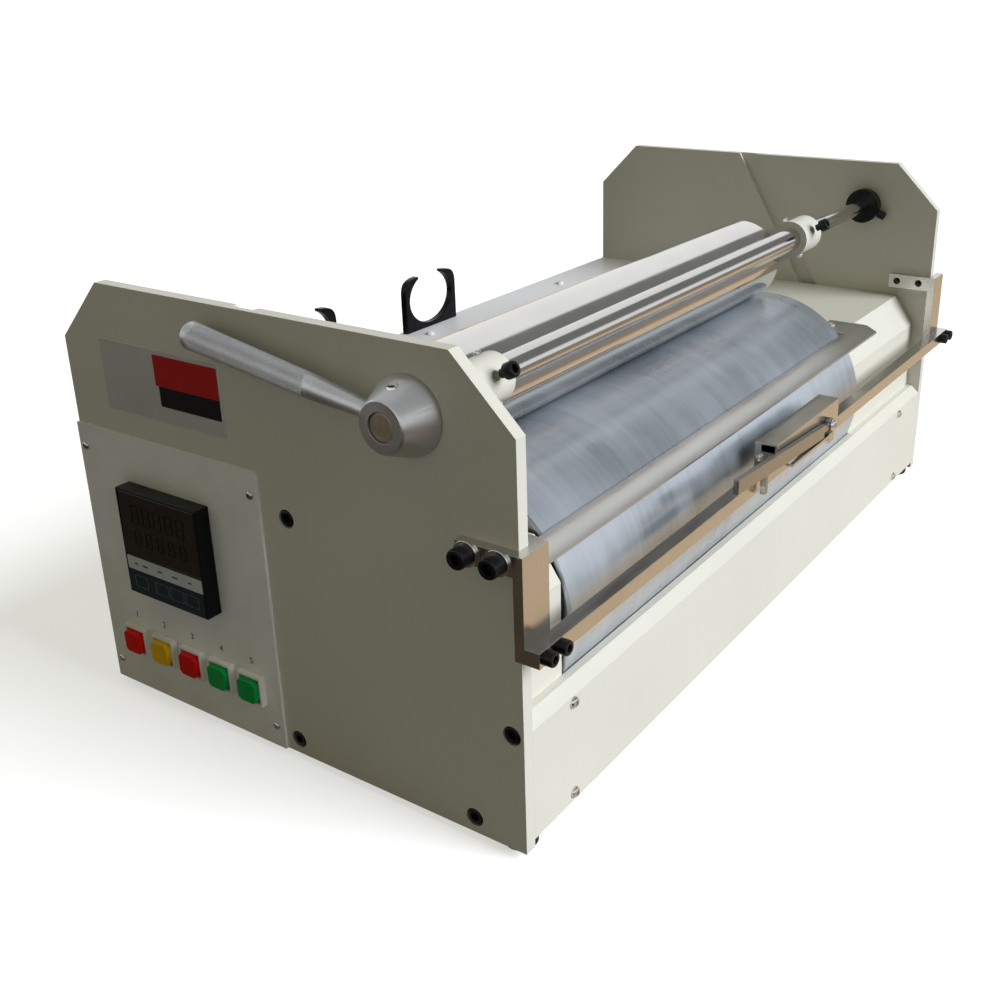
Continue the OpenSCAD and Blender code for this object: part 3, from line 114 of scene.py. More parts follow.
def angle(name, degrees, text):
    """Return an angle property whose default is given in degrees."""
    return FloatProperty(name=name, description=text, subtype="ANGLE", default=radians(degrees))


def number(name, default, text):
    """Return a plain number property."""
    return FloatProperty(name=name, description=text, default=default)


def triple(name, default, text, unit="NONE"):
    """Return the property of a place or a direction."""
    return FloatVectorProperty(name=name, description=text, subtype="XYZ", unit=unit, size=3, default=default)


class PaintSettings(bpy.types.PropertyGroup):
    """Paint and plastics"""
    cream: tint("Cream", (0.71, 0.695, 0.62), "Powder coat of the plates, covers and lift arms")
    deck: tint("Deck", (0.80, 0.81, 0.84), "Greyer coat of the rear deck")
    cap_red: tint("Red", (0.85, 0.006, 0.004), "Red push buttons")
    cap_yellow: tint("Yellow", (0.98, 0.56, 0.006), "Yellow push button")
    cap_green: tint("Green", (0.006, 0.40, 0.09), "Green push buttons")
    bezel: tint("Bezel", (0.95, 0.94, 0.89), "Frames round the push buttons")
    case: tint("Case", (0.004, 0.004, 0.005), "Meter case, clips and other black plastic")
    key_strip: tint("Key strip", (0.020, 0.036, 0.048), "Film of the meter's keys")
    peel: length("Orange peel", 0.0009, "Grain of the powder coat")


class MetalSettings(bpy.types.PropertyGroup):
    """Metals"""
    zinc: tint("Zinc", (0.56, 0.62, 0.69), "Shell of the drum")
    chrome: tint("Chrome", (0.74, 0.735, 0.72), "Press roller and lift tube")
    rail: tint("Rail steel", (0.66, 0.64, 0.60), "Rail, brackets and carriage")
    strip: tint("Strip steel", (0.70, 0.70, 0.68), "Guard strip, tie bars and base tray")
    satin: tint("Satin aluminium", (0.60, 0.61, 0.62), "Hub and handle of the lever")
    panel: tint("Panel aluminium", (0.96, 0.95, 0.94), "Control panel and nameplate")
    oxide: tint("Black oxide", (0.007, 0.007, 0.008), "Cap screws and collar")
    bright: tint("Bright plating", (0.76, 0.76, 0.75), "Small screws and washers")
    bronze: tint("Bronze", (0.50, 0.33, 0.14), "Bushes of the lift shaft")
    tarnish: tint("Tarnished steel", (0.40, 0.32, 0.26), "End of the lift shaft in the hub")


class EdgeSettings(bpy.types.PropertyGroup):
    """Rounded edges and fasteners"""
    plate: length("Plate edge", 0.0009, "Rounding of the side plates' edges")
    sheet: length("Sheet edge", 0.0005, "Rounding of the sheet covers' edges")
    machined: length("Machined edge", 0.0005, "Rounding of the bars and brackets")
    moulded: length("Moulded edge", 0.0008, "Rounding of the plastic pieces")
    knurl_count: IntProperty(name="Knurl", description="Ridges round the grip", default=36, min=12, max=48)
    knurl_depth: length("Knurl depth", 0.0005, "Depth of the grip's knurl")
    handle_rise: angle("Handle rise", 9, "Rise of the handle at rest")
    numeral: length("Numeral", 0.0062, "Height of the numerals over the push buttons")


class StageSettings(bpy.types.PropertyGroup):
    """Camera, lamps and floor"""
    eye: triple("Eye", (-0.74325, -0.46375, 0.4513), "Place of the camera", "LENGTH")
    look: triple("Look", (0.7591, 0.5302, -0.3776), "Direction in which the camera looks")
    up: triple("Up", (0.3225, 0.1976, 0.9257), "Direction of the picture's upper edge")
    lens: number("Lens", 43.28, "Focal length in millimetres")
    shift: FloatVectorProperty(name="Shift", description="Shift of the picture", size=2,
                               default=(-0.0293, -0.0425))
    key: number("Key lamp", 3.8, "Strength of the front lamp")
    key_rise: angle("Key rise", 30, "Height of the front lamp")
    key_side: angle("Key side", 14, "Turn of the front lamp to the right")
    key_soft: angle("Key softness", 36, "Width of the front lamp")
    fill: number("Fill", 0.175, "Level of the light from all round")
    fill_tint: tint("Fill colour", (1.0, 0.955, 0.62), "Colour of the light from all round")
    key_tint: tint("Key colour", (0.90, 0.935, 1.0), "Colour of the front lamp")
    horizon: number("Horizon", 0.95, "Level of the low background in bright metal")
    ceiling: number("Ceiling", 0.45, "Level of the high background on the left in bright metal")
    corner: number("Dark corner", 0.20, "Level of the high background on the right in bright metal")
    bench: tint("Bench", (0.70, 0.54, 0.37), "Floor before the tester, as bright metal shows it")
    far_bench: tint("Far bench", (0.30, 0.25, 0.20), "Floor further off, as bright metal shows it")
    bench_dim: number("Dim bench", 0.09, "Level of the floor on the left in bright metal")
    floor: tint("Floor", (0.86, 0.86, 0.86), "Floor in the picture")
    glow: number("Floor glow", 0.55, "Light of the floor's own in the picture")


class TesterSettings(bpy.types.PropertyGroup):
    """Settings of the roving length tester"""
    paint: PointerProperty(type=PaintSettings)
    metal: PointerProperty(type=MetalSettings)
    edges: PointerProperty(type=EdgeSettings)
    stage: PointerProperty(type=StageSettings)


def settings():
    """Return the scene's settings."""
    return bpy.context.scene.tester


def low(node):
    """Return the lowest corner of a CAD node."""
    return Vector(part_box(node)[0])


def high(node):
    """Return the highest corner of a CAD node."""
    return Vector(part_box(node)[1])


def middle(node):
    """Return the middle of a CAD node's box."""
    return (low(node) + high(node)) / 2


def centre_of(points):
    """Return the mean of a list of points."""
    return sum(points, Vector()) / len(points)


def without_x(vector):
    """Return a vector with its x taken out."""
    return Vector((0, vector.y, vector.z))


def profile_of(node, origin, axis):
    """Return the steps of a turned CAD node: distances along an axis, and the largest radius at each."""
    steps = {}
    for vert in frame["nodes"][node].data.vertices:
        arm = Vector(vert.co) - origin
        along = arm.dot(axis)
        key = round(along, 5)
        steps[key] = max(steps.get(key, 0.0), (arm - axis * along).length)
    return sorted(steps.items())


class Nodes:
    """A node tree with short calls that add nodes and link them."""

    def __init__(self, tree):
        self.tree = tree

    def feed(self, value, socket):
        """Link an output to a socket, or set a plain value on it."""
        if isinstance(value, bpy.types.NodeSocket):
            self.tree.links.new(value, socket)
        elif value is not None:
            socket.default_value = value

    def add(self, kind, inputs=(), **values):
        """Add a node, set its properties, feed its inputs by name or number and return its outputs."""
        node = self.tree.nodes.new(kind)
        for key, value in values.items():
            setattr(node, key, value)
        for key, value in dict(inputs).items():
            self.feed(value, node.inputs[key])
        return node.outputs

    def math(self, operation, first, second=None):
        """Return the result of a math node."""
        return self.add("ShaderNodeMath", {0: first, 1: second}, operation=operation)[0]

    def plus(self, first, second):
        """Return the sum of two values."""
        return self.math("ADD", first, second)

    def times(self, first, second):
        """Return the product of two values."""
        return self.math("MULTIPLY", first, second)

    def minus(self, first, second):
        """Return the difference of two values."""
        return self.math("SUBTRACT", first, second)

    def span(self, value, out_low, out_high, in_low=0.3, in_high=0.7, **kind):
        """Return a value moved from one range to another."""
        ends = {"From Min": in_low, "From Max": in_high, "To Min": out_low, "To Max": out_high}
        return self.add("ShaderNodeMapRange", {"Value": value, **ends}, **kind)["Result"]

    def mix(self, factor, *colours):
        """Return a colour between two colours."""
        first, second = (c if isinstance(c, bpy.types.NodeSocket) else (*c, 1) for c in colours)
        return self.add("ShaderNodeMix", {"Factor": factor, 6: first, 7: second}, data_type="RGBA")[2]


class Finish(Nodes):
    """Node tree of one material, with short calls for its textures."""

    def __init__(self, name):
        self.material = bpy.data.materials.new(name)
        self.material.use_nodes = True
        super().__init__(self.material.node_tree)
        self.shader = self.tree.nodes["Principled BSDF"]
        self.place = self.add("ShaderNodeTexCoord")["Object"]

    def set(self, **values):
        """Set the shader's sockets by name."""
        for key, value in values.items():
            self.feed(value, self.shader.inputs[key.replace("_", " ").title().replace("Ior", "IOR")])

    def stretch(self, scale, turn=(0, 0, 0)):
        """Return the object's coordinates scaled on each axis."""
        return self.add("ShaderNodeMapping", {"Vector": self.place, "Scale": scale,
                                              "Rotation": turn})["Vector"]

    def noise(self, scale, detail, rough=0.55, place=None):
        """Return a noise of so many grains to the metre."""
        return self.add("ShaderNodeTexNoise", {"Vector": place or self.place, "Scale": scale,
                                               "Detail": detail, "Roughness": rough})["Fac"]

    def clouds(self, value, colour, dark, light):
        """Return a colour that a noise takes from a darker to a lighter shade."""
        return self.mix(self.span(value, 0, 1), shade(colour, dark), shade(colour, light))

    def rub(self, scale, detail, *ranges):
        """Return how far rounded edges are rubbed: the mesh's edge attribute, broken up by a noise."""
        edge = self.add("ShaderNodeAttribute", attribute_name="edge")["Fac"]
        return self.times(edge, self.span(self.noise(scale, detail), *ranges))

    def bump(self, height, distance, strength):
        """Return a normal bent by a height in metres."""
        return self.add("ShaderNodeBump", {"Strength": strength, "Distance": distance,
                                           "Height": height})["Normal"]


def shade(colour, factor):
    """Return a colour made darker or lighter."""
    return tuple(min(1.0, channel * factor) for channel in colour)


def powder_coat(f, colour):
    """Satin powder coat: fine orange peel, faint clouds and rubbed edges."""
    body = f.clouds(f.noise(7, 5), colour, 0.95, 1.02)
    f.set(base_color=f.mix(f.rub(60, 4, 0, 0.45, 0.42, 0.62), body, shade(colour, 0.80)))
    f.set(roughness=f.span(f.noise(240, 3), 0.38, 0.50), specular_ior_level=0.28)
    f.set(normal=f.bump(f.noise(1 / settings().paint.peel, 2), 0.00006, 0.35))


def moulded(f, colour, gloss):
    """Moulded plastic with a fine spark grain."""
    body = f.clouds(f.noise(18, 3), colour, 0.90, 1.06)
    worn = tuple(0.8 * channel + 0.008 for channel in colour)
    f.set(base_color=f.mix(f.rub(150, 3, 0, 0.35, 0.4, 0.65), body, worn))
    f.set(roughness=f.span(f.noise(90, 4), gloss - 0.06, gloss + 0.08), specular_ior_level=0.16)
    f.set(normal=f.bump(f.noise(2200, 2), 0.00004, 0.25))


def brushed(f, colour, rough, lines, lift, metallic=1.0, cloud=0.07, shine=0.5):
    """Metal with fine lines: lines is how fast the grain changes along each axis."""
    strokes = f.noise(1, 6, 0.62, f.stretch(lines))
    smear = f.noise(14, 5)
    tone = f.plus(f.span(strokes, -0.5 * cloud, 0.5 * cloud), f.span(smear, -cloud, cloud))
    body = f.mix(f.plus(tone, 0.5), shade(colour, 0.70), shade(colour, 1.30))
    f.set(base_color=f.mix(f.rub(90, 3, 0.1, 0.6), body, shade(colour, 1.18)))
    f.set(metallic=metallic, specular_ior_level=shine)
    f.set(roughness=f.plus(f.span(strokes, rough - 0.05, rough + 0.06), f.span(smear, -0.04, 0.05)))
    f.set(normal=f.bump(strokes, lift, 0.5))


def blasted(f, colour):
    """Bead-blasted silver sheet: pale mottles and a fine sparkle."""
    mottle = f.noise(38, 6, 0.66)
    spark = f.noise(1500, 2)
    tone = f.plus(f.span(mottle, 0.1, 0.8), f.span(spark, -0.15, 0.15))
    f.set(base_color=f.mix(tone, shade(colour, 0.90), shade(colour, 1.06)), metallic=0.04)
    f.set(roughness=f.span(mottle, 0.42, 0.56), normal=f.bump(spark, 0.00005, 0.35))


def tarnished(f, colour):
    """Bare steel dulled by handling: brown clouds over a worn face."""
    clouds = f.noise(160, 5, 0.62)
    f.set(base_color=f.clouds(clouds, colour, 0.75, 1.2), metallic=0.35)
    f.set(roughness=f.span(clouds, 0.40, 0.60), normal=f.bump(f.noise(900, 3), 0.00002, 0.4))


def plated(f, colour, rough):
    """Polished plating with light smears and wipe marks."""
    smear = f.noise(22, 6, 0.6)
    wipe = f.noise(1, 4, 0.6, f.stretch((25, 260, 260)))
    f.set(base_color=f.clouds(smear, colour, 0.93, 1.03), metallic=1.0)
    f.set(roughness=f.plus(f.span(smear, rough - 0.03, rough + 0.05), f.span(wipe, 0, 0.05)))
    f.set(normal=f.bump(wipe, 0.000004, 0.25))


def drum_zinc(f, colour):
    """Zinc sheet of the drum: pale clouds, wiped streaks and fine turning lines."""
    turning = f.noise(1, 2, 0.5, f.stretch((240, 5, 5)))
    clouds = f.noise(1, 3, 0.5, f.stretch((9, 16, 16), (0.5, 0, 0)))
    wipes = f.noise(1, 3, 0.5, f.stretch((45, 11, 11), (0.0, 0.35, 0.3)))
    tone = f.plus(f.span(clouds, 0.05, 0.75), f.span(wipes, -0.12, 0.25))
    tone = f.plus(tone, f.span(turning, -0.10, 0.10))
    body = f.mix(tone, shade(colour, 0.74), shade(colour, 1.30))
    dull = f.span(f.noise(40, 2, 0.5), 0, 0.25, 0.50, 0.80)
    f.set(base_color=f.mix(dull, body, shade(colour, 0.80)), metallic=0.74)
    f.set(roughness=f.plus(f.span(clouds, 0.24, 0.40), f.span(wipes, -0.05, 0.07)))


def rubber(f):
    """Dull black rubber with a dusty bloom."""
    dust = f.span(f.noise(70, 4), 0, 0.5, 0.45, 0.75)
    f.set(base_color=f.mix(dust, (0.012, 0.012, 0.012), (0.045, 0.044, 0.042)))
    f.set(roughness=f.span(f.noise(160, 3), 0.62, 0.85), normal=f.bump(f.noise(1500, 2), 0.00006, 0.4))


def smoked(f):
    """Smoked window over the display: dark gloss with faint wipe marks."""
    wipe = f.noise(1, 4, 0.6, f.stretch((40, 30, 220)))
    f.set(base_color=f.mix(f.span(wipe, 0, 1), (0.010, 0.007, 0.006), (0.020, 0.014, 0.012)))
    f.set(roughness=f.span(wipe, 0.07, 0.14), coat_weight=0.4)


def film(f, colour, gloss=0.34):
    """Printed film with a fine matt texture."""
    f.set(base_color=f.clouds(f.noise(60, 4), colour, 0.93, 1.06))
    f.set(roughness=f.span(f.noise(300, 3), gloss - 0.05, gloss + 0.08), specular_ior_level=0.2)
    f.set(normal=f.bump(f.noise(2600, 2), 0.00003, 0.25))


def solder_mask(f):
    """Green board with darker tracks."""
    tracks = f.noise(1, 2, 0.4, f.stretch((60, 400, 60)))
    f.set(base_color=f.mix(f.span(tracks, 0, 1, 0.45, 0.55), (0.010, 0.075, 0.03), (0.020, 0.13, 0.05)))
    f.set(roughness=f.span(f.noise(200, 3), 0.25, 0.40))


def ink(f):
    """Dark printing ink, slightly worn."""
    f.set(base_color=f.mix(f.span(f.noise(900, 4), 0, 1), (0.010, 0.010, 0.012), (0.045, 0.045, 0.05)))
    f.set(roughness=f.span(f.noise(500, 2), 0.45, 0.6))


def recipes():
    """Return the maker of every finish by name, with the colour and the other values that it is given."""
    paint = settings().paint
    metal = settings().metal
    return {
        "cream_paint": (powder_coat, paint.cream),
        "deck_coat": (powder_coat, paint.deck),
        "drum_zinc": (drum_zinc, metal.zinc),
        "roller_chrome": (plated, metal.chrome, 0.07),
        "tube_chrome": (plated, shade(metal.chrome, 0.9), 0.12),
        "rail_steel": (plated, metal.rail, 0.17),
        "bracket_steel": (plated, metal.rail, 0.22),
        # The lever's steel is the rail steel darkened to 0.62 as painted shade, standing in for the shadow
        # and dark reflection on the lever's front.
        "lever_steel": (plated, shade(metal.rail, 0.62), 0.20),
        "strip_steel": (brushed, metal.strip, 0.34, (14, 60, 60), 0.000004, 1.0, 0.16),
        "hub_satin": (brushed, metal.satin, 0.38, (700, 60, 60), 0.00001, 1.0, 0.05),
        "grip_satin": (brushed, shade(metal.satin, 0.90), 0.42, (800, 800, 800), 0.00001, 0.85, 0.34),
        "panel_blasted": (blasted, metal.panel),
        "plate_silver": (brushed, shade(metal.panel, 0.60), 0.40, (900, 8, 700), 0.00001, 0.1, 0.06),
        "black_oxide": (brushed, metal.oxide, 0.30, (500, 500, 500), 0.00001, 0.0, 0.2, 0.22),
        "shaft_end": (tarnished, metal.tarnish),
        "bright_plating": (plated, metal.bright, 0.16),
        "dull_plating": (plated, shade(metal.bright, 0.55), 0.28),
        "bush_bronze": (brushed, metal.bronze, 0.34, (400, 30, 30), 0.00001),
        "black_plastic": (moulded, paint.case, 0.34),
        "clip_plastic": (moulded, paint.case, 0.26),
        "bezel_plastic": (moulded, paint.bezel, 0.34),
        "cap_red": (moulded, paint.cap_red, 0.30),
        "cap_yellow": (moulded, paint.cap_yellow, 0.30),
        "cap_green": (moulded, paint.cap_green, 0.30),
        "smoked_window": (smoked,),
        "segment_film": (film, (0.018, 0.011, 0.009), 0.22),
        "key_film": (film, paint.key_strip),
        "band_film": (film, (0.60, 0.63, 0.66)),
        "key_line": (film, (0.10, 0.13, 0.15)),
        "block_red": (film, (0.52, 0.015, 0.012)),
        "block_black": (film, (0.012, 0.012, 0.013)),
        "foot_rubber": (rubber,),
        "board_green": (solder_mask,),
        "motor_paint": (moulded, (0.05, 0.052, 0.058), 0.42),
        "ink": (ink,),
    }


def finish(name):
    """Return a finish, made when it is first asked for."""
    own = "tester_" + name
    if own not in bpy.data.materials:
        maker, *values = recipes()[name]
        maker(Finish(own), *values)
    return bpy.data.materials[own]


def linked(name, data):
    """Return a new object in the scene."""
    made = bpy.data.objects.new(name, data)
    bpy.context.scene.collection.objects.link(made)
    return made


def mesh_of(made):
    """Return the mesh of an object as its modifiers leave it."""
    graph = bpy.context.evaluated_depsgraph_get()
    return bpy.data.meshes.new_from_object(made.evaluated_get(graph))


def piece(name, mesh, body, coat, nodes=(), smooth=CREASE, weighted=True):
    """Link a finished mesh as a piece that rides on a body."""
    mesh.name = name
    mesh.materials.clear()
    mesh.materials.append(finish(coat))
    for polygon in mesh.polygons:
        polygon.use_smooth = True
        polygon.material_index = 0
    mesh.set_sharp_from_angle(angle=smooth)
    made = linked(name, mesh)
    if weighted:
        made.modifiers.new("even_normals", "WEIGHTED_NORMAL").keep_sharp = True
    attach(made, body)
    if nodes:
        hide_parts(*nodes)


def to_mesh(bm, name):
    """Return a bmesh as a mesh, and free it."""
    mesh = bpy.data.meshes.new(name)
    bm.to_mesh(mesh)
    bm.free()
    return mesh


def even(bm):
    """Merge doubles and point the faces of a bmesh outwards."""
    bmesh.ops.remove_doubles(bm, verts=bm.verts, dist=WELD)
    bmesh.ops.recalc_face_normals(bm, faces=bm.faces)
    return bm


def shaped(name, bm, body, coat, nodes=(), **look):
    """Even a bmesh and link it as a piece."""
    piece(name, to_mesh(even(bm), name), body, coat, nodes, **look)


def joined(node):
    """Return a bmesh copy of a CAD node whose triangles are joined to whole faces."""
    bm = bmesh.new()
    bm.from_mesh(frame["nodes"][node].data)
    bmesh.ops.remove_doubles(bm, verts=bm.verts, dist=WELD)
    bmesh.ops.dissolve_limit(bm, angle_limit=ONE_FACE, verts=bm.verts, edges=bm.edges)
    return bm


def solids(node):
    """Return the points of each separate solid of a CAD node, in an order that is always the same."""
    bm = joined(node)
    left = set(bm.verts)
    groups = []
    while left:
        group = [left.pop()]
        for vert in group:
            for edge in vert.link_edges:
                other = edge.other_vert(vert)
                if other in left:
                    left.remove(other)
                    group.append(other)
        groups.append(sorted((vert.co.copy() for vert in group), key=tuple))
    bm.free()
    return sorted(groups, key=lambda group: [round(c, 4) for c in centre_of(group)])


def rounded(bm, width, segments):
    """Round the outer edges of a bmesh and mark the new faces as edge."""
    layer = bm.faces.layers.float.new("edge")
    edges = [e for e in bm.edges
             if len(e.link_faces) == 2 and e.is_convex and e.calc_face_angle(0) > CREASE]
    made = bmesh.ops.bevel(bm, geom=edges, offset=width, offset_type="OFFSET", segments=segments, profile=0.5,
                           affect="EDGES", clamp_overlap=True)
    for face in made["faces"]:
        face[layer] = 1.0
    return bm


def dress(coat, width, *nodes, segments=2):
    """Replace CAD nodes by copies with rounded edges and a finish."""
    for node in nodes:
        name = node + "_dressed"
        mesh = to_mesh(rounded(joined(node), width, segments), name)
        piece(name, mesh, BODY_OF[node], coat, (node,), DRESSED_CREASE)


def ring_faces(bm, rings):
    """Join each ring of points to the next; a ring may be a single point."""
    for first, second in zip(rings, rings[1:]):
        count = max(len(first), len(second))
        for k in range(count):
            n = (k + 1) % count
            corners = (first[k % len(first)], first[n % len(first)],
                       second[n % len(second)], second[k % len(second)])
            unique = list(dict.fromkeys(corners))
            if len(unique) > 2:
                bm.faces.new(unique)


def ring(bm, place, along, radius, count):
    """Add a ring of points; its radius is a number or depends on the angle."""
    points = []
    for k in range(count):
        a = 2 * pi * k / count
        reach = radius(a) if callable(radius) else radius
        points.append(bm.verts.new(place @ Vector((reach * cos(a), reach * sin(a), along))))
    return points


def turned(bm, profile, place, segments, closed=False):
    """Add a turned shape: profile holds distances along the axis and radii, and place puts z on the axis."""
    rings = []
    for along, radius in profile:
        on_axis = not callable(radius) and radius < WELD
        rings.append(ring(bm, place, along, radius, 1 if on_axis else segments))
    ring_faces(bm, rings + rings[:1] if closed else rings)
    return rings


def facing(point, axis, twist=0.0):
    """Return the place of a shape drawn along z whose z points along an axis."""
    turn = UP.rotation_difference(axis).to_matrix().to_4x4()
    return Matrix.Translation(point) @ turn @ Matrix.Rotation(twist, 4, "Z")


def lathe(name, profile, axis, segments, body, coat, nodes=(), closed=False):
    """Link a shape turned about an axis along x as a piece."""
    bm = bmesh.new()
    turned(bm, profile, facing(without_x(axis), RIGHT), segments, closed)
    shaped(name, bm, body, coat, nodes)


def corner(along, radius, turn, way):
    """Return the profile of a rounded corner: way is 1 where the shape starts and -1 where it ends."""
    sag = CORNER_SAG * turn
    return [(along, radius - turn), (along + way * sag, radius - sag), (along + way * turn, radius)][::way]


def barrel(x0, x1, radius, turn, count):
    """Return the profile of a cylinder with rounded ends, in so many lengths."""
    between = [(x0 + turn + (x1 - x0 - 2 * turn) * k / count, radius) for k in range(1, count)]
    return corner(x0, radius, turn, 1) + between + corner(x1, radius, turn, -1)


def slab(bm, first, last, width=0.0):
    """Add a block between two corners, with rounded edges if a width is given."""
    made = bmesh.ops.create_cube(bm, size=1.0)["verts"]
    size = last - first
    for vert in made:
        vert.co = Vector(first[i] + (vert.co[i] + 0.5) * size[i] for i in range(3))
    if width:
        edges = list(dict.fromkeys(edge for vert in made for edge in vert.link_edges))
        bmesh.ops.bevel(bm, geom=edges, offset=width, segments=2, profile=0.5, affect="EDGES")


class ShapeTree(Nodes):
    """Geometry nodes with named inputs that make a shape and give it a finish."""

    def __init__(self, name, **kinds):
        super().__init__(bpy.data.node_groups.new(name, "GeometryNodeTree"))
        kinds["Finish"] = "Material"
        self.inputs = {}
        for key, kind in {"Geometry": "Geometry", **kinds}.items():
            self.inputs[key] = self.socket(key, "INPUT", kind)
        self.socket("Geometry", "OUTPUT", "Geometry")
        self.start = self.add("NodeGroupInput")

    def socket(self, name, way, kind):
        """Add a socket to the tree and return its identifier."""
        made = self.tree.interface.new_socket(name, in_out=way, socket_type="NodeSocket" + kind)
        return made.identifier

    def end(self, geometry):
        """Realize the shape, set its finish and end the tree."""
        whole = self.add("GeometryNodeRealizeInstances", {"Geometry": geometry})
        given = {"Geometry": whole["Geometry"], "Material": self.start["Finish"]}
        self.add("NodeGroupOutput", {"Geometry": self.add("GeometryNodeSetMaterial", given)["Geometry"]})

    def made_on(self, points, coat, values):
        """Return the mesh that the tree makes on a mesh of points with these inputs."""
        carrier = linked("carrier", points)
        nodes = carrier.modifiers.new("shape", "NODES")
        nodes.node_group = self.tree
        for name, value in {**values, "Finish": finish(coat)}.items():
            nodes[self.inputs[name]] = value
        mesh = mesh_of(carrier)
        bpy.data.objects.remove(carrier)
        if not mesh.polygons:
            raise RuntimeError("no faces were made by " + self.tree.name)
        return mesh


@cache
def copy_tree():
    """Return the geometry nodes that set copies of one shape on points with a turn and a size."""
    g = ShapeTree("set_copies", Shape="Object")
    turn, size = (g.add("GeometryNodeInputNamedAttribute", {"Name": name},
                        data_type="FLOAT_VECTOR")["Attribute"] for name in ("turn", "size"))
    source = g.add("GeometryNodeObjectInfo", {"Object": g.start["Shape"]})
    spin = g.add("FunctionNodeEulerToRotation", {"Euler": turn})
    set_on = g.add("GeometryNodeInstanceOnPoints",
                   {"Points": g.start["Geometry"], "Instance": source["Geometry"],
                    "Rotation": spin["Rotation"], "Scale": size})
    g.end(set_on["Instances"])
    return g


def copies(name, shape, spots, coat, body="frame", nodes=(), smooth=CREASE):
    """Link copies of a shape as a piece: each spot is a place, a turn and a size."""
    points = bpy.data.meshes.new(name + "_points")
    points.from_pydata([spot[0] for spot in spots], [], [])
    for index, key in ((1, "turn"), (2, "size")):
        layer = points.attributes.new(key, "FLOAT_VECTOR", "POINT")
        layer.data.foreach_set("vector", [c for spot in spots for c in spot[index]])
    source = linked(name + "_shape", shape)
    mesh = copy_tree().made_on(points, coat, {"Shape": source})
    bpy.data.objects.remove(source)
    piece(name, mesh, body, coat, nodes, smooth, False)


def hexagon(across):
    """Return the radius of a hexagon by the angle."""
    return lambda a: across / cos((a % (pi / 3)) - pi / 6)


def cross(reach, half):
    """Return the radius of a cross recess by the angle."""
    def radius(a):
        part = abs((a + pi / 4) % (pi / 2) - pi / 4)
        return min(reach / cos(part), half / max(sin(part), 1e-6))
    return radius


def screw_shape(name, count, levels, bottom):
    """Return a screw of unit radius and height: levels are heights and radii, bottom is its recess's."""
    bm = bmesh.new()
    rings = turned(bm, [*levels, (bottom, 0)], Matrix(), count)
    bm.faces.new(reversed(rings[0]))
    return to_mesh(even(bm), name)


def cap_shape(count=72):
    """Return a cap screw: a neck below, a knurled side and a hexagon socket."""
    knurl = lambda a: 0.985 + 0.015 * cos(a * count / 2)
    levels = [(-0.62, 0.58), (0.0, 0.58), (0.0, 0.97), (0.06, knurl), (0.86, knurl), (0.93, 0.95),
              (0.98, 0.90), (1.0, 0.84), (1.0, hexagon(0.53)), (0.96, hexagon(0.49)), (0.50, hexagon(0.49))]
    return screw_shape("cap_shape", count, levels, 0.44)


def dome_shape():
    """Return a dome screw with a cross recess."""
    levels = [(0.0, 1.0), (0.30, 1.0), (0.48, 0.95), (0.66, 0.86), (0.81, 0.73), (0.92, 0.60),
              (0.955, cross(0.50, 0.13)), (0.45, cross(0.40, 0.104))]
    return screw_shape("dome_shape", 64, levels, 0.38)


def grub_shape():
    """Return a set screw with a hexagon socket."""
    levels = [(0.0, 1.0), (0.92, 1.0), (1.0, 0.88), (1.0, hexagon(0.5)), (0.6, hexagon(0.46))]
    return screw_shape("grub_shape", 48, levels, 0.55)


def head_spot(points, axis, height, twist):
    """Return the spot of a screw's head: the end of a solid along an axis, and its width there."""
    axis = axis.normalized()
    top = max(point.dot(axis) for point in points)
    rim = [point for point in points if point.dot(axis) > top - height * 0.5 - WELD]
    across = axis.orthogonal().normalized()
    ways = (across, axis.cross(across))
    spread = [[point.dot(way) for point in rim] for way in ways]
    centre = sum((way * (min(span) + max(span)) / 2 for way, span in zip(ways, spread)), axis * top)
    radius = (max(spread[0]) - min(spread[0])) / 2
    seat = centre - axis * height
    return seat, facing(seat, axis, twist).to_euler(), (radius, radius, height)


def screws(node, shape, coat, height, axis_of, keep=lambda p: True, mark="dressed"):
    """Replace a CAD node of screws, or those of it to keep, by copies of a screw's shape."""
    kept = [points for points in solids(node) if keep(points)]
    spots = [head_spot(points, axis_of(points), height, SCREW_TWIST * (k + 1))
             for k, points in enumerate(kept)]
    copies(node + "_" + mark, shape, spots, coat, BODY_OF[node], (node,), SCREW_CREASE)


class TESTER_OT_cabinet(bpy.types.Operator):
    """Dress the side plates, covers, deck, tray, bars, guard strip, bushes and feet"""
    bl_idname = "tester.cabinet"
    bl_label = "Cabinet"

    def execute(self, context):
        edges = settings().edges
        dress("cream_paint", edges.plate, "left_side_plate", "right_side_plate")
        dress("cream_paint", edges.sheet, "front_cover", "left_cover", "right_cover", "rear_panel")
        dress("deck_coat", edges.sheet, "rear_deck")
        dress("strip_steel", edges.machined * 0.8, "base_tray", "tie_bars", "guard_strip")
        dress("bush_bronze", edges.machined * 0.6, "lift_bushes")
        self.feet()
        return {"FINISHED"}

    def feet(self):
        """Turn the rubber feet: a disc with a soft lower edge and a stem."""
        bm = bmesh.new()
        for points in solids("rubber_feet"):
            levels = sorted({round(point.z, 5) for point in points})
            tall, top = levels[1], levels[-1]
            disc = [point for point in points if point.z < levels[0] + WELD]
            stem = [point for point in points if point.z > top - WELD]
            centre = centre_of(disc)
            radius, neck = (max((point - centre).to_2d().length for point in rim) for rim in (disc, stem))
            profile = [(0, 0), (0, radius * 0.84), (tall * 0.12, radius * 0.94), (tall * 0.35, radius),
                       (tall * 0.9, radius), (tall, radius * 0.98), (tall, neck), (top, neck), (top, 0)]
            turned(bm, profile, Matrix.Translation((centre.x, centre.y, 0)), FOOT_SIDES)
        shaped("rubber_feet_dressed", bm, "frame", "foot_rubber", ("rubber_feet",), smooth=FOOT_CREASE)


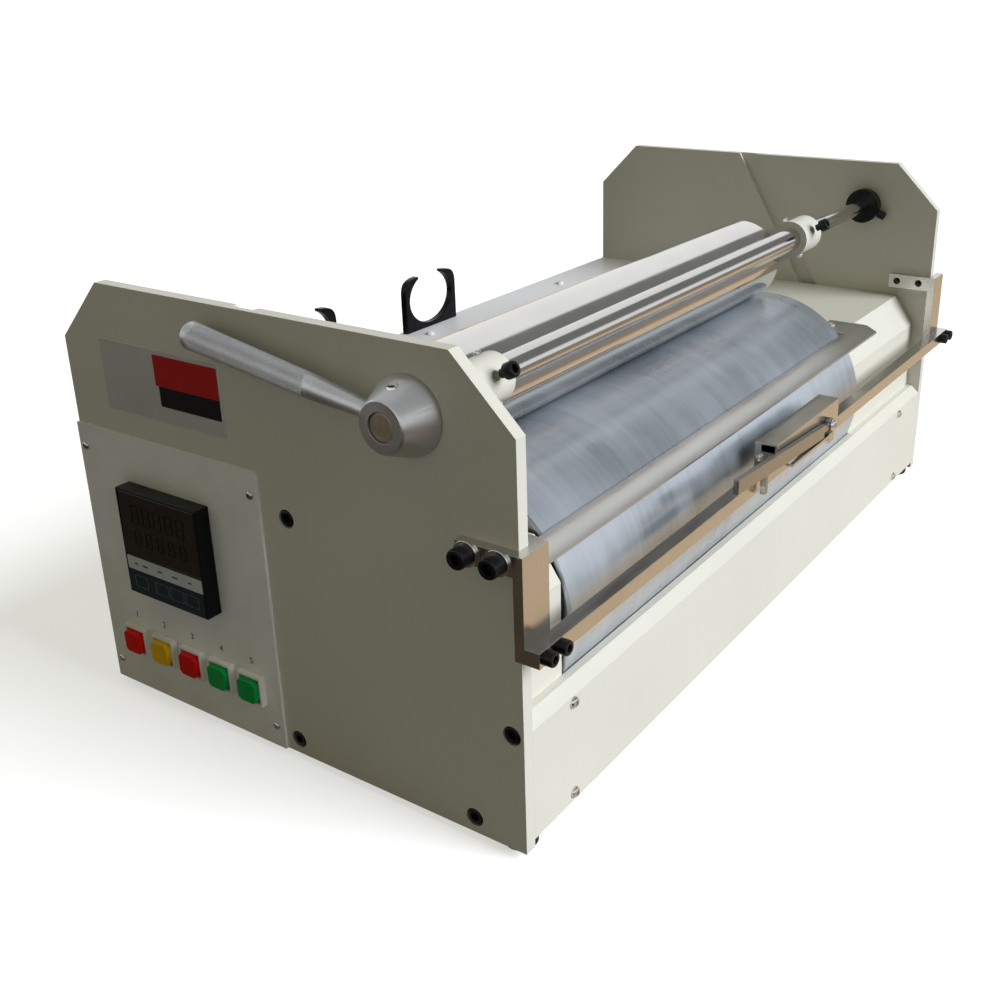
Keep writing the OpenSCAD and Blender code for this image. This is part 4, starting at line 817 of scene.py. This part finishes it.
class TESTER_OT_drum(bpy.types.Operator):
    """Turn the drum's shell and dress what is inside it and on its ends"""
    bl_idname = "tester.drum"
    bl_label = "Drum"

    def execute(self, context):
        edges = settings().edges
        x0, x1 = low("drum_shell").x, high("drum_shell").x
        outer, inner = (high(node).z - DRUM_AXIS.z for node in ("drum_shell", "drum_discs"))
        turn, lengths = 0.0008, 12
        profile = [(x0, inner), *barrel(x0, x1, outer, turn, lengths), (x1, inner)]
        lathe("drum_shell_dressed", profile, DRUM_AXIS, DRUM_SIDES, "drum", "drum_zinc",
              ("drum_shell",), True)
        dress("hub_satin", edges.machined, "drum_discs", "drum_pulley", "motor_pulley")
        dress("strip_steel", edges.machined, "drum_bearings", "drum_axle")
        dress("black_plastic", edges.machined * 0.4, "slotted_disc")
        return {"FINISHED"}


def grip_tree():
    """Return the geometry nodes of the knurled grip: a grid rolled up, with two sets of crossing grooves."""
    sizes = ("From", "To", "Inner Radius", "Outer Radius", "Depth", "Ridges", "Rows")
    g = ShapeTree("knurled_grip", **dict.fromkeys(sizes, "Float"))
    begin, stop, inner, outer, depth, ridges, rows = (g.start[name] for name in sizes)
    end_slope = 30
    grid = g.add("GeometryNodeMeshGrid", {"Size X": 1.0, "Size Y": 1.0,
                                          "Vertices X": g.plus(g.times(ridges, RIDGE_POINTS), 1),
                                          "Vertices Y": g.plus(g.times(rows, RIDGE_POINTS), 1)})
    place = g.add("ShaderNodeSeparateXYZ", {0: g.add("GeometryNodeInputPosition")[0]})
    u, v = g.plus(place["X"], 0.5), g.plus(place["Y"], 0.5)
    across, down = g.times(u, ridges), g.times(v, rows)
    waves = [g.math("PINGPONG", value, 0.5) for value in (g.plus(across, down), g.minus(across, down))]
    peak = g.times(g.math("MINIMUM", *waves), 2)
    to_end = g.math("MINIMUM", v, g.minus(1, v))
    fade = g.math("MINIMUM", g.times(to_end, end_slope), 1)
    cut = g.times(g.times(g.minus(peak, 1), depth), fade)
    radius = g.plus(g.plus(inner, g.times(g.minus(outer, inner), v)), cut)
    turn = g.times(u, 2 * pi)
    spot = g.add("ShaderNodeCombineXYZ", {"X": g.times(radius, g.math("COSINE", turn)),
                                          "Y": g.times(radius, g.math("SINE", turn)),
                                          "Z": g.plus(begin, g.times(g.minus(stop, begin), v))})
    moved = g.add("GeometryNodeSetPosition", {"Geometry": grid["Mesh"], "Position": spot[0]})
    g.end(moved["Geometry"])
    return g


class TESTER_OT_lift(bpy.types.Operator):
    """Turn the press roller, tube, shaft and lever, and dress the lift arms"""
    bl_idname = "tester.lift"
    bl_label = "Press roller and lift"

    def execute(self, context):
        edges = settings().edges
        dress("cream_paint", edges.plate, "left_lift_arm", "right_lift_arm")
        dress("black_oxide", edges.machined, "shaft_collar")
        self.roller()
        self.tube()
        self.shaft()
        dress("hub_satin", edges.machined, "lever_hub")
        self.handle(edges)
        return {"FINISHED"}

    def roller(self):
        """Turn the press roller with its journals."""
        steps = profile_of("press_roller", without_x(ROLLER_AXIS), RIGHT)
        (x0, journal), (x1, radius), (x2, _), (x3, _) = steps
        turn, lengths, chamfer = 0.0012, 10, 0.0005
        profile = [(x0, 0), (x0, journal - chamfer), (x0 + chamfer, journal), (x1, journal),
                   *barrel(x1, x2, radius, turn, lengths),
                   (x2, journal), (x3 - chamfer, journal), (x3, journal - chamfer), (x3, 0)]
        lathe("press_roller_dressed", profile, ROLLER_AXIS, ROLLER_SIDES, "roller", "roller_chrome",
              ("press_roller",))

    def tube(self):
        """Turn the tube over the lift shaft."""
        x0, x1 = low("lift_tube").x, high("lift_tube").x
        chamfer, play = 0.0004, 0.00005
        outer = high("lift_tube").z - LIFT_AXIS.z
        inner = high("lift_shaft").z - LIFT_AXIS.z + play
        profile = [(x0, inner), (x0, outer - chamfer), (x0 + chamfer, outer), ((x0 + x1) / 2, outer),
                   (x1 - chamfer, outer), (x1, outer - chamfer), (x1, inner)]
        lathe("lift_tube_dressed", profile, LIFT_AXIS, SHAFT_SIDES, "lift", "tube_chrome",
              ("lift_tube",), True)

    def shaft(self):
        """Turn the stepped lift shaft, and its tarnished end in the hub."""
        steps = profile_of("lift_shaft", without_x(LIFT_AXIS), RIGHT)
        (x0, radius), (x1, thin) = steps[0], steps[-1]
        step = high("right_lift_arm").x
        chamfer, end = 0.0007, x0 + 0.004
        profile = [(end, 0), (end, radius), (step, radius), (step, thin), (x1 - chamfer, thin),
                   (x1, thin - chamfer), (x1, 0)]
        lathe("lift_shaft_dressed", profile, LIFT_AXIS, SHAFT_SIDES, "lift", "tube_chrome", ("lift_shaft",))
        inside = radius - chamfer / 2
        profile = [(x0, 0), (x0, radius - 2 * chamfer), (x0 + chamfer, inside), (end, inside), (end, 0)]
        lathe("lift_shaft_end", profile, LIFT_AXIS, SHAFT_SIDES, "lift", "shaft_end")

    def handle(self, edges):
        """Make the handle: turned neck and tip, and a knurled grip between them."""
        axis = Vector((0, cos(edges.handle_rise), sin(edges.handle_rise)))
        origin = Vector((middle("lever_handle").x, LIFT_AXIS.y, LIFT_AXIS.z))
        steps = profile_of("lever_handle", origin, axis)
        place = facing(origin, axis)
        end = max(range(len(steps)), key=lambda k: steps[k][1])
        slope = [(b[1] - a[1]) / (b[0] - a[0]) for a, b in zip(steps, steps[1:])]
        start = next(k for k in range(2, end) if slope[k] < slope[k - 1] / 2)
        grip_from, thin = steps[start]
        grip_to, thick = steps[end]
        rows = round((grip_to - grip_from) / (2 * pi * thick / edges.knurl_count))
        sizes = {"From": grip_from, "To": grip_to, "Inner Radius": thin, "Outer Radius": thick,
                 "Depth": edges.knurl_depth, "Ridges": float(edges.knurl_count), "Rows": float(rows)}
        bm = bmesh.new()
        bm.from_mesh(grip_tree().made_on(bpy.data.meshes.new("grip"), "grip_satin", sizes))
        bmesh.ops.transform(bm, matrix=place, verts=bm.verts)
        count = edges.knurl_count * RIDGE_POINTS
        turned(bm, [(steps[0][0], 0), *steps[:start + 1]], place, count)
        tip, turn = steps[-1][0], 0.0016
        turned(bm, [(grip_to, thick), *corner(tip, thick, turn, -1), (tip, 0)], place, count)
        shaped("lever_handle_dressed", bm, "lift", "grip_satin", ("lever_handle",), smooth=KNURL_CREASE,
               weighted=False)


class TESTER_OT_rail(bpy.types.Operator):
    """Dress the front rail, its brackets and washers, and the carriage with its lever"""
    bl_idname = "tester.rail"
    bl_label = "Front rail"

    def execute(self, context):
        edges = settings().edges
        dress("bracket_steel", edges.machined, "left_rail_bracket", "right_rail_bracket")
        dress("rail_steel", edges.machined * 0.8, "rail_bar", "rail_carriage")
        # The lever gets the darkened rail steel: painted shade on its front.
        dress("lever_steel", edges.machined * 1.6, "carriage_lever")
        dress("bright_plating", edges.machined * 0.6, "bracket_washers")
        return {"FINISHED"}


class TESTER_OT_panel(bpy.types.Operator):
    """Dress the control panel and the bare nameplate, and print numerals over the buttons"""
    bl_idname = "tester.panel"
    bl_label = "Control panel"

    def execute(self, context):
        edges = settings().edges
        dress("panel_blasted", edges.sheet, "control_panel")
        dress("plate_silver", edges.sheet * 0.5, "nameplate")
        self.blocks()
        self.numerals(edges)
        return {"FINISHED"}

    def blocks(self):
        """Add the two bare colour blocks of the nameplate, placed by shares of its width and height."""
        lo, hi = low("nameplate"), high("nameplate")
        width, tall = hi.y - lo.y, hi.z - lo.z
        thick = Vector((0.0002, 0, 0))
        shares = {"block_red": ((0.01, 0.50), (0.535, 0.93)), "block_black": ((0.01, 0.22), (0.51, 0.50))}
        for name, ends in shares.items():
            first, last = (Vector((lo.x, lo.y + y * width, lo.z + z * tall)) for y, z in ends)
            bm = bmesh.new()
            slab(bm, first - thick, last + thick, FILM_EDGE)
            shaped("nameplate_" + name, bm, "frame", name)

    def numerals(self, edges):
        """Print a plain number over each push button."""
        half, proud, above = 0.00005, 0.00006, 0.006
        turn = Matrix(((0, 0, -1), (-1, 0, 0), (0, 1, 0))).to_4x4()
        bm = bmesh.new()
        for k, key in enumerate(KEYS):
            curve = bpy.data.curves.new("numeral", "FONT")
            curve.body = str(k + 1)
            curve.size = edges.numeral
            curve.align_x = "CENTER"
            curve.extrude = half
            text = linked("numeral", curve)
            mesh = mesh_of(text)
            bpy.data.objects.remove(text)
            spot = Vector((low("control_panel").x - proud, middle(key + "_button").y,
                           high("button_bezels").z + above))
            mesh.transform(Matrix.Translation(spot) @ turn)
            bm.from_mesh(mesh)
        even(bm)
        bmesh.ops.beautify_fill(bm, faces=bm.faces, edges=bm.edges)
        piece("button_numerals", to_mesh(bm, "button_numerals"), "frame", "ink", weighted=False)


class TESTER_OT_meter(bpy.types.Operator):
    """Dress the meter: case, window, display segments, bands and keys"""
    bl_idname = "tester.meter"
    bl_label = "Meter"

    def execute(self, context):
        edges = settings().edges
        dress("black_plastic", edges.moulded * 0.6, "meter_case", segments=3)
        dress("smoked_window", edges.moulded * 0.4, "meter_window")
        self.display()
        self.keys()
        return {"FINISHED"}

    def display(self):
        """Lay two rows of unlit display segments on the window."""
        lo, hi = low("meter_window"), high("meter_window")
        tip, shoulder, half = 0.46, 0.38, 0.08
        outline = ((-tip, 0), (-shoulder, half), (shoulder, half),
                   (tip, 0), (shoulder, -half), (-shoulder, -half))
        bm = bmesh.new()
        sides = [[bm.verts.new((a, b, z)) for a, b in outline] for z in (0.0, 1.0)]
        ring_faces(bm, sides)
        bm.faces.new(sides[1])
        bm.faces.new(reversed(sides[0]))
        upright = facing(Vector(), LEFT)
        flat = upright @ Matrix.Rotation(pi / 2, 4, "Z")
        strokes = [(0, rise, flat) for rise in (1, 0, -1)]
        strokes += [(across, rise, upright) for across in (0.5, -0.5) for rise in (0.5, -0.5)]
        digits, margin, run = 5, 0.20, 0.60
        proud, thick = 0.00008, 0.00016
        spots = []
        for row, size in ((0.68, 0.0060), (0.30, 0.0048)):
            z = lo.z + row * (hi.z - lo.z)
            for k in range(digits):
                y = hi.y - (margin + run * k / (digits - 1)) * (hi.y - lo.y)
                spots += [((lo.x - proud, y + across * size, z + rise * size), turn.to_euler(),
                           (size, size, thick)) for across, rise, turn in strokes]
        copies("meter_segments", to_mesh(even(bm), "segment"), spots, "segment_film")

    def keys(self):
        """Lay the key strip with four key outlines and the grey band with its marks on the keypad."""
        lo, hi = low("meter_keypad"), high("meter_keypad")
        width, tall = hi.y - lo.y, hi.z - lo.z
        for name, z0, z1, nodes in (("key_film", 0.0, 0.59, ("meter_keypad",)),
                                    ("band_film", 0.61, 0.97, ())):
            bm = bmesh.new()
            slab(bm, Vector((lo.x, lo.y, lo.z + z0 * tall)), Vector((hi.x, hi.y, lo.z + z1 * tall)),
                 FILM_EDGE)
            shaped("meter_" + name, bm, "frame", name, nodes)
        sunk, thick, turn = 0.00002, 0.0001, facing(Vector(), LEFT).to_euler()

        def spot(part, height, deep, wide):
            return (lo.x + sunk, hi.y - part * width, lo.z + height * tall), turn, (deep, wide, thick)

        keys = [spot(part, 0.30, 0.0085, 0.0125) for part in (0.16, 0.44, 0.64, 0.84)]
        copies("meter_keys", self.key_outline(), keys, "key_line")
        marks = ((0.12, 0.003), (0.24, 0.005), (0.44, 0.004), (0.64, 0.005), (0.84, 0.003))
        bm = bmesh.new()
        slab(bm, Vector((-0.5, -0.5, 0)), Vector((0.5, 0.5, 1)))
        copies("meter_marks", to_mesh(even(bm), "mark"),
               [spot(part, 0.79, 0.0010, wide) for part, wide in marks], "ink")

    def key_outline(self):
        """Return the printed outline of a key of unit size, with round corners."""
        round_off, inside = 0.12, 0.88
        quarter = [(0.5 - round_off + round_off * cos(a), 0.5 - round_off + round_off * sin(a))
                   for a in (0, pi / 6, pi / 3, pi / 2)]
        loop = quarter + [(-x, y) for x, y in reversed(quarter)] + [(-x, -y) for x, y in quarter]
        loop += [(x, -y) for x, y in reversed(quarter)]
        bm = bmesh.new()
        rings = [[bm.verts.new((x * s, y * s, z)) for x, y in loop]
                 for s, z in ((1, 0), (1, 1), (inside, 1), (inside, 0))]
        ring_faces(bm, rings + rings[:1])
        return to_mesh(even(bm), "key_outline")


class TESTER_OT_buttons(bpy.types.Operator):
    """Dress the push buttons, their bezels and the switches behind them"""
    bl_idname = "tester.buttons"
    bl_label = "Push buttons"

    def execute(self, context):
        edges = settings().edges
        dress("bezel_plastic", edges.moulded * 0.8, "button_bezels", segments=3)
        dress("black_plastic", edges.machined, "button_switches")
        for key, colour in zip(KEYS, ("red", "yellow", "red", "green", "green")):
            dress("cap_" + colour, edges.moulded * 1.1, key + "_button", segments=3)
        return {"FINISHED"}


class TESTER_OT_clips(bpy.types.Operator):
    """Dress the two roving clips"""
    bl_idname = "tester.clips"
    bl_label = "Roving clips"

    def execute(self, context):
        dress("clip_plastic", settings().edges.moulded, "roving_clips", segments=3)
        return {"FINISHED"}


class TESTER_OT_works(bpy.types.Operator):
    """Dress the drive, the sensor, the board and the power inlet"""
    bl_idname = "tester.works"
    bl_label = "Drive and electrics"

    def execute(self, context):
        width = settings().edges.machined * 0.6
        finishes = {"motor_bracket": "strip_steel", "drive_motor": "motor_paint", "drive_belt": "foot_rubber",
                    "photo_sensor": "black_plastic", "control_board": "board_green",
                    "power_inlet": "black_plastic"}
        for node, name in finishes.items():
            dress(name, width, node)
        return {"FINISHED"}


class TESTER_OT_screws(bpy.types.Operator):
    """Set every screw with its socket or recess"""
    bl_idname = "tester.screws"
    bl_label = "Screws"

    def execute(self, context):
        cap, dome = cap_shape(), dome_shape()
        side = lambda p: LEFT if centre_of(p).x < 0 else RIGHT
        sheet, outward = self.sheet_axis, self.outward
        on_deck = lambda p: centre_of(p).y > low("rear_deck").y and sheet(p) == UP
        in_boss = lambda p: centre_of(p).x > low("left_side_plate").x
        screws("side_plate_screws", cap, "black_oxide", SOCKET_HEAD, side)
        screws("bracket_screws", cap, "black_oxide", BRACKET_HEAD, side)
        screws("rail_screws", cap, "black_oxide", RAIL_HEAD, lambda p: FRONT)
        screws("lift_clamp_screws", cap, "black_oxide", SOCKET_HEAD, outward)
        screws("control_panel_screws", dome, "dull_plating", PANEL_HEAD, lambda p: LEFT)
        screws("cover_screws", dome, "bright_plating", DOME_HEAD, sheet, lambda p: not on_deck(p))
        screws("cover_screws", dome, "deck_coat", DOME_HEAD, sheet, on_deck, "painted")
        screws("carriage_screws", dome, "bright_plating", DOME_HEAD, self.carriage_axis)
        screws("lift_set_screws", dome, "bright_plating", DOME_HEAD, outward, in_boss)
        screws("lift_set_screws", grub_shape(), "bright_plating", GRUB_LENGTH, outward,
               lambda p: not in_boss(p), "hub")
        return {"FINISHED"}

    def outward(self, points):
        """Return the direction of a screw that points away from the lift axis."""
        return without_x(centre_of(points) - LIFT_AXIS)

    def sheet_axis(self, points):
        """Return the direction of a cover screw's head: front, back or up."""
        y, near = centre_of(points).y, 0.01
        if y < low("left_side_plate").y + near:
            return FRONT
        if y > high("left_side_plate").y - near:
            return -FRONT
        return UP

    def carriage_axis(self, points):
        """Return the direction of a carriage screw's head: left in its end, front on the lever."""
        near = 0.005
        return LEFT if centre_of(points).x < low("rail_carriage").x + near else FRONT


class TESTER_OT_stage(bpy.types.Operator):
    """Set the floor, the lamps, the background and the camera"""
    bl_idname = "tester.stage"
    bl_label = "Stage"

    def execute(self, context):
        stage = settings().stage
        context.scene.view_settings.view_transform = "Standard"
        self.floor(stage)
        self.background(stage)
        self.key_lamp(stage)
        self.camera(stage)
        return {"FINISHED"}

    def camera(self, stage):
        """Set the camera where the photo was taken from."""
        data = bpy.data.cameras.new("photo_camera")
        data.sensor_width = 36
        data.lens = stage.lens
        data.shift_x, data.shift_y = stage.shift
        data.clip_start = 0.01
        data.clip_end = 50
        eye = linked("photo_camera", data)
        back = -Vector(stage.look).normalized()
        right = Vector(stage.up).cross(back).normalized()
        turn = Matrix((right, back.cross(right), back)).transposed().to_4x4()
        eye.matrix_world = Matrix.Translation(Vector(stage.eye)) @ turn
        bpy.context.scene.camera = eye

    def key_lamp(self, stage):
        """Add a wide soft lamp in front, above and a little to the right."""
        data = bpy.data.lights.new("key_lamp", "SUN")
        data.energy = stage.key
        data.angle = stage.key_soft
        data.color = stage.key_tint
        made = linked("key_lamp", data)
        made.visible_glossy = False
        flat = cos(stage.key_rise)
        towards = Vector((flat * sin(stage.key_side), -flat * cos(stage.key_side), sin(stage.key_rise)))
        made.matrix_world = facing(towards * 3, towards)

    def floor(self, stage):
        """Lay a wide floor: white in the picture, a bench in bright metal, and little light thrown back."""
        bm = bmesh.new()
        bmesh.ops.create_grid(bm, x_segments=1, y_segments=1, size=12)
        mesh = to_mesh(bm, "floor")
        made = linked("floor", mesh)
        f = Finish("floor")
        path = f.add("ShaderNodeLightPath")
        seen, glossy = path["Is Camera Ray"], path["Is Glossy Ray"]
        speck = f.clouds(f.noise(40, 4), stage.floor, 0.985, 1.0)
        thrown = f.mix(glossy, shade(stage.floor, 0.30), (0, 0, 0))
        f.set(base_color=f.mix(seen, thrown, speck), roughness=0.9, specular_ior_level=0.0)
        place = f.add("ShaderNodeSeparateXYZ", {0: f.place})
        plate = low("left_side_plate")
        far_edge, near_edge, dim_edge, lit_edge = 0.42, 0.30, 0.04, 0.06
        wood = f.clouds(f.noise(1, 4, 0.6, f.stretch((4, 30, 1))), stage.bench, 0.82, 1.18)
        far = f.span(place["Y"], 1, 0, plate.y - far_edge, plate.y - near_edge)
        right = f.span(place["X"], 0, 1, plate.x - dim_edge, plate.x + lit_edge)
        bench = f.mix(right, shade(stage.bench, stage.bench_dim), f.mix(far, wood, stage.far_bench))
        f.set(emission_color=f.mix(seen, bench, (1, 1, 1)))
        f.set(emission_strength=f.plus(f.times(seen, stage.glow), glossy))
        mesh.materials.append(f.material)

    def background(self, stage):
        """Light softly from all round: white in the picture, bands along the roller in bright metal."""
        world = bpy.data.worlds.new("studio")
        bpy.context.scene.world = world
        world.use_nodes = True
        n = Nodes(world.node_tree)
        way = n.add("ShaderNodeSeparateXYZ", {0: n.add("ShaderNodeTexCoord")["Generated"]})
        rise = n.math("ARCTAN2", way["Z"], n.times(way["Y"], -1.0))

        def between(value, start, end, first, second):
            return n.span(value, first, second, start, end, interpolation_type="SMOOTHSTEP")

        on_left = between(way["Z"], 0.50, 0.55, stage.horizon, stage.ceiling)
        band = between(rise, radians(20), radians(32), stage.horizon, stage.corner)
        on_right = between(rise, radians(86), radians(93), band, stage.horizon)
        level = between(way["X"], 0.1, 0.4, on_left, on_right)
        path = n.add("ShaderNodeLightPath")
        fill = tuple(channel * stage.fill for channel in stage.fill_tint)
        colour = n.mix(path["Is Glossy Ray"], fill, level)
        for ray in ("Is Transmission Ray", "Is Camera Ray"):
            colour = n.mix(path[ray], colour, (1, 1, 1))
        n.feed(colour, n.tree.nodes["Background"].inputs["Color"])


OPERATORS = (TESTER_OT_cabinet, TESTER_OT_drum, TESTER_OT_lift, TESTER_OT_rail, TESTER_OT_panel,
             TESTER_OT_meter, TESTER_OT_buttons, TESTER_OT_clips, TESTER_OT_works, TESTER_OT_screws,
             TESTER_OT_stage)


class TESTER_PT_sidebar(bpy.types.Panel):
    """Lists the steps that dress the tester"""
    bl_idname = "TESTER_PT_sidebar"
    bl_label = "Roving Length Tester"
    bl_space_type = "VIEW_3D"
    bl_region_type = "UI"
    bl_category = "Tester"

    def draw(self, context):
        for operator in OPERATORS:
            self.layout.operator(operator.bl_idname)
        for group in (settings().paint, settings().metal, settings().edges, settings().stage):
            box = self.layout.box()
            box.label(text=group.bl_rna.description)
            for name in group.bl_rna.properties.keys():
                if name not in ("rna_type", "name"):
                    box.prop(group, name)


CLASSES = (PaintSettings, MetalSettings, EdgeSettings, StageSettings, TesterSettings, *OPERATORS,
           TESTER_PT_sidebar)


def register():
    """Register the settings, operators and panel."""
    for cls in CLASSES:
        bpy.utils.register_class(cls)
    bpy.types.Scene.tester = PointerProperty(type=TesterSettings)


def unregister():
    """Remove the settings, operators and panel."""
    del bpy.types.Scene.tester
    for cls in reversed(CLASSES):
        bpy.utils.unregister_class(cls)


def main():
    """Dress the whole tester."""
    register()
    for operator in OPERATORS:
        group, name = operator.bl_idname.split(".")
        getattr(getattr(bpy.ops, group), name)()


if __name__ == "__main__":
    main()
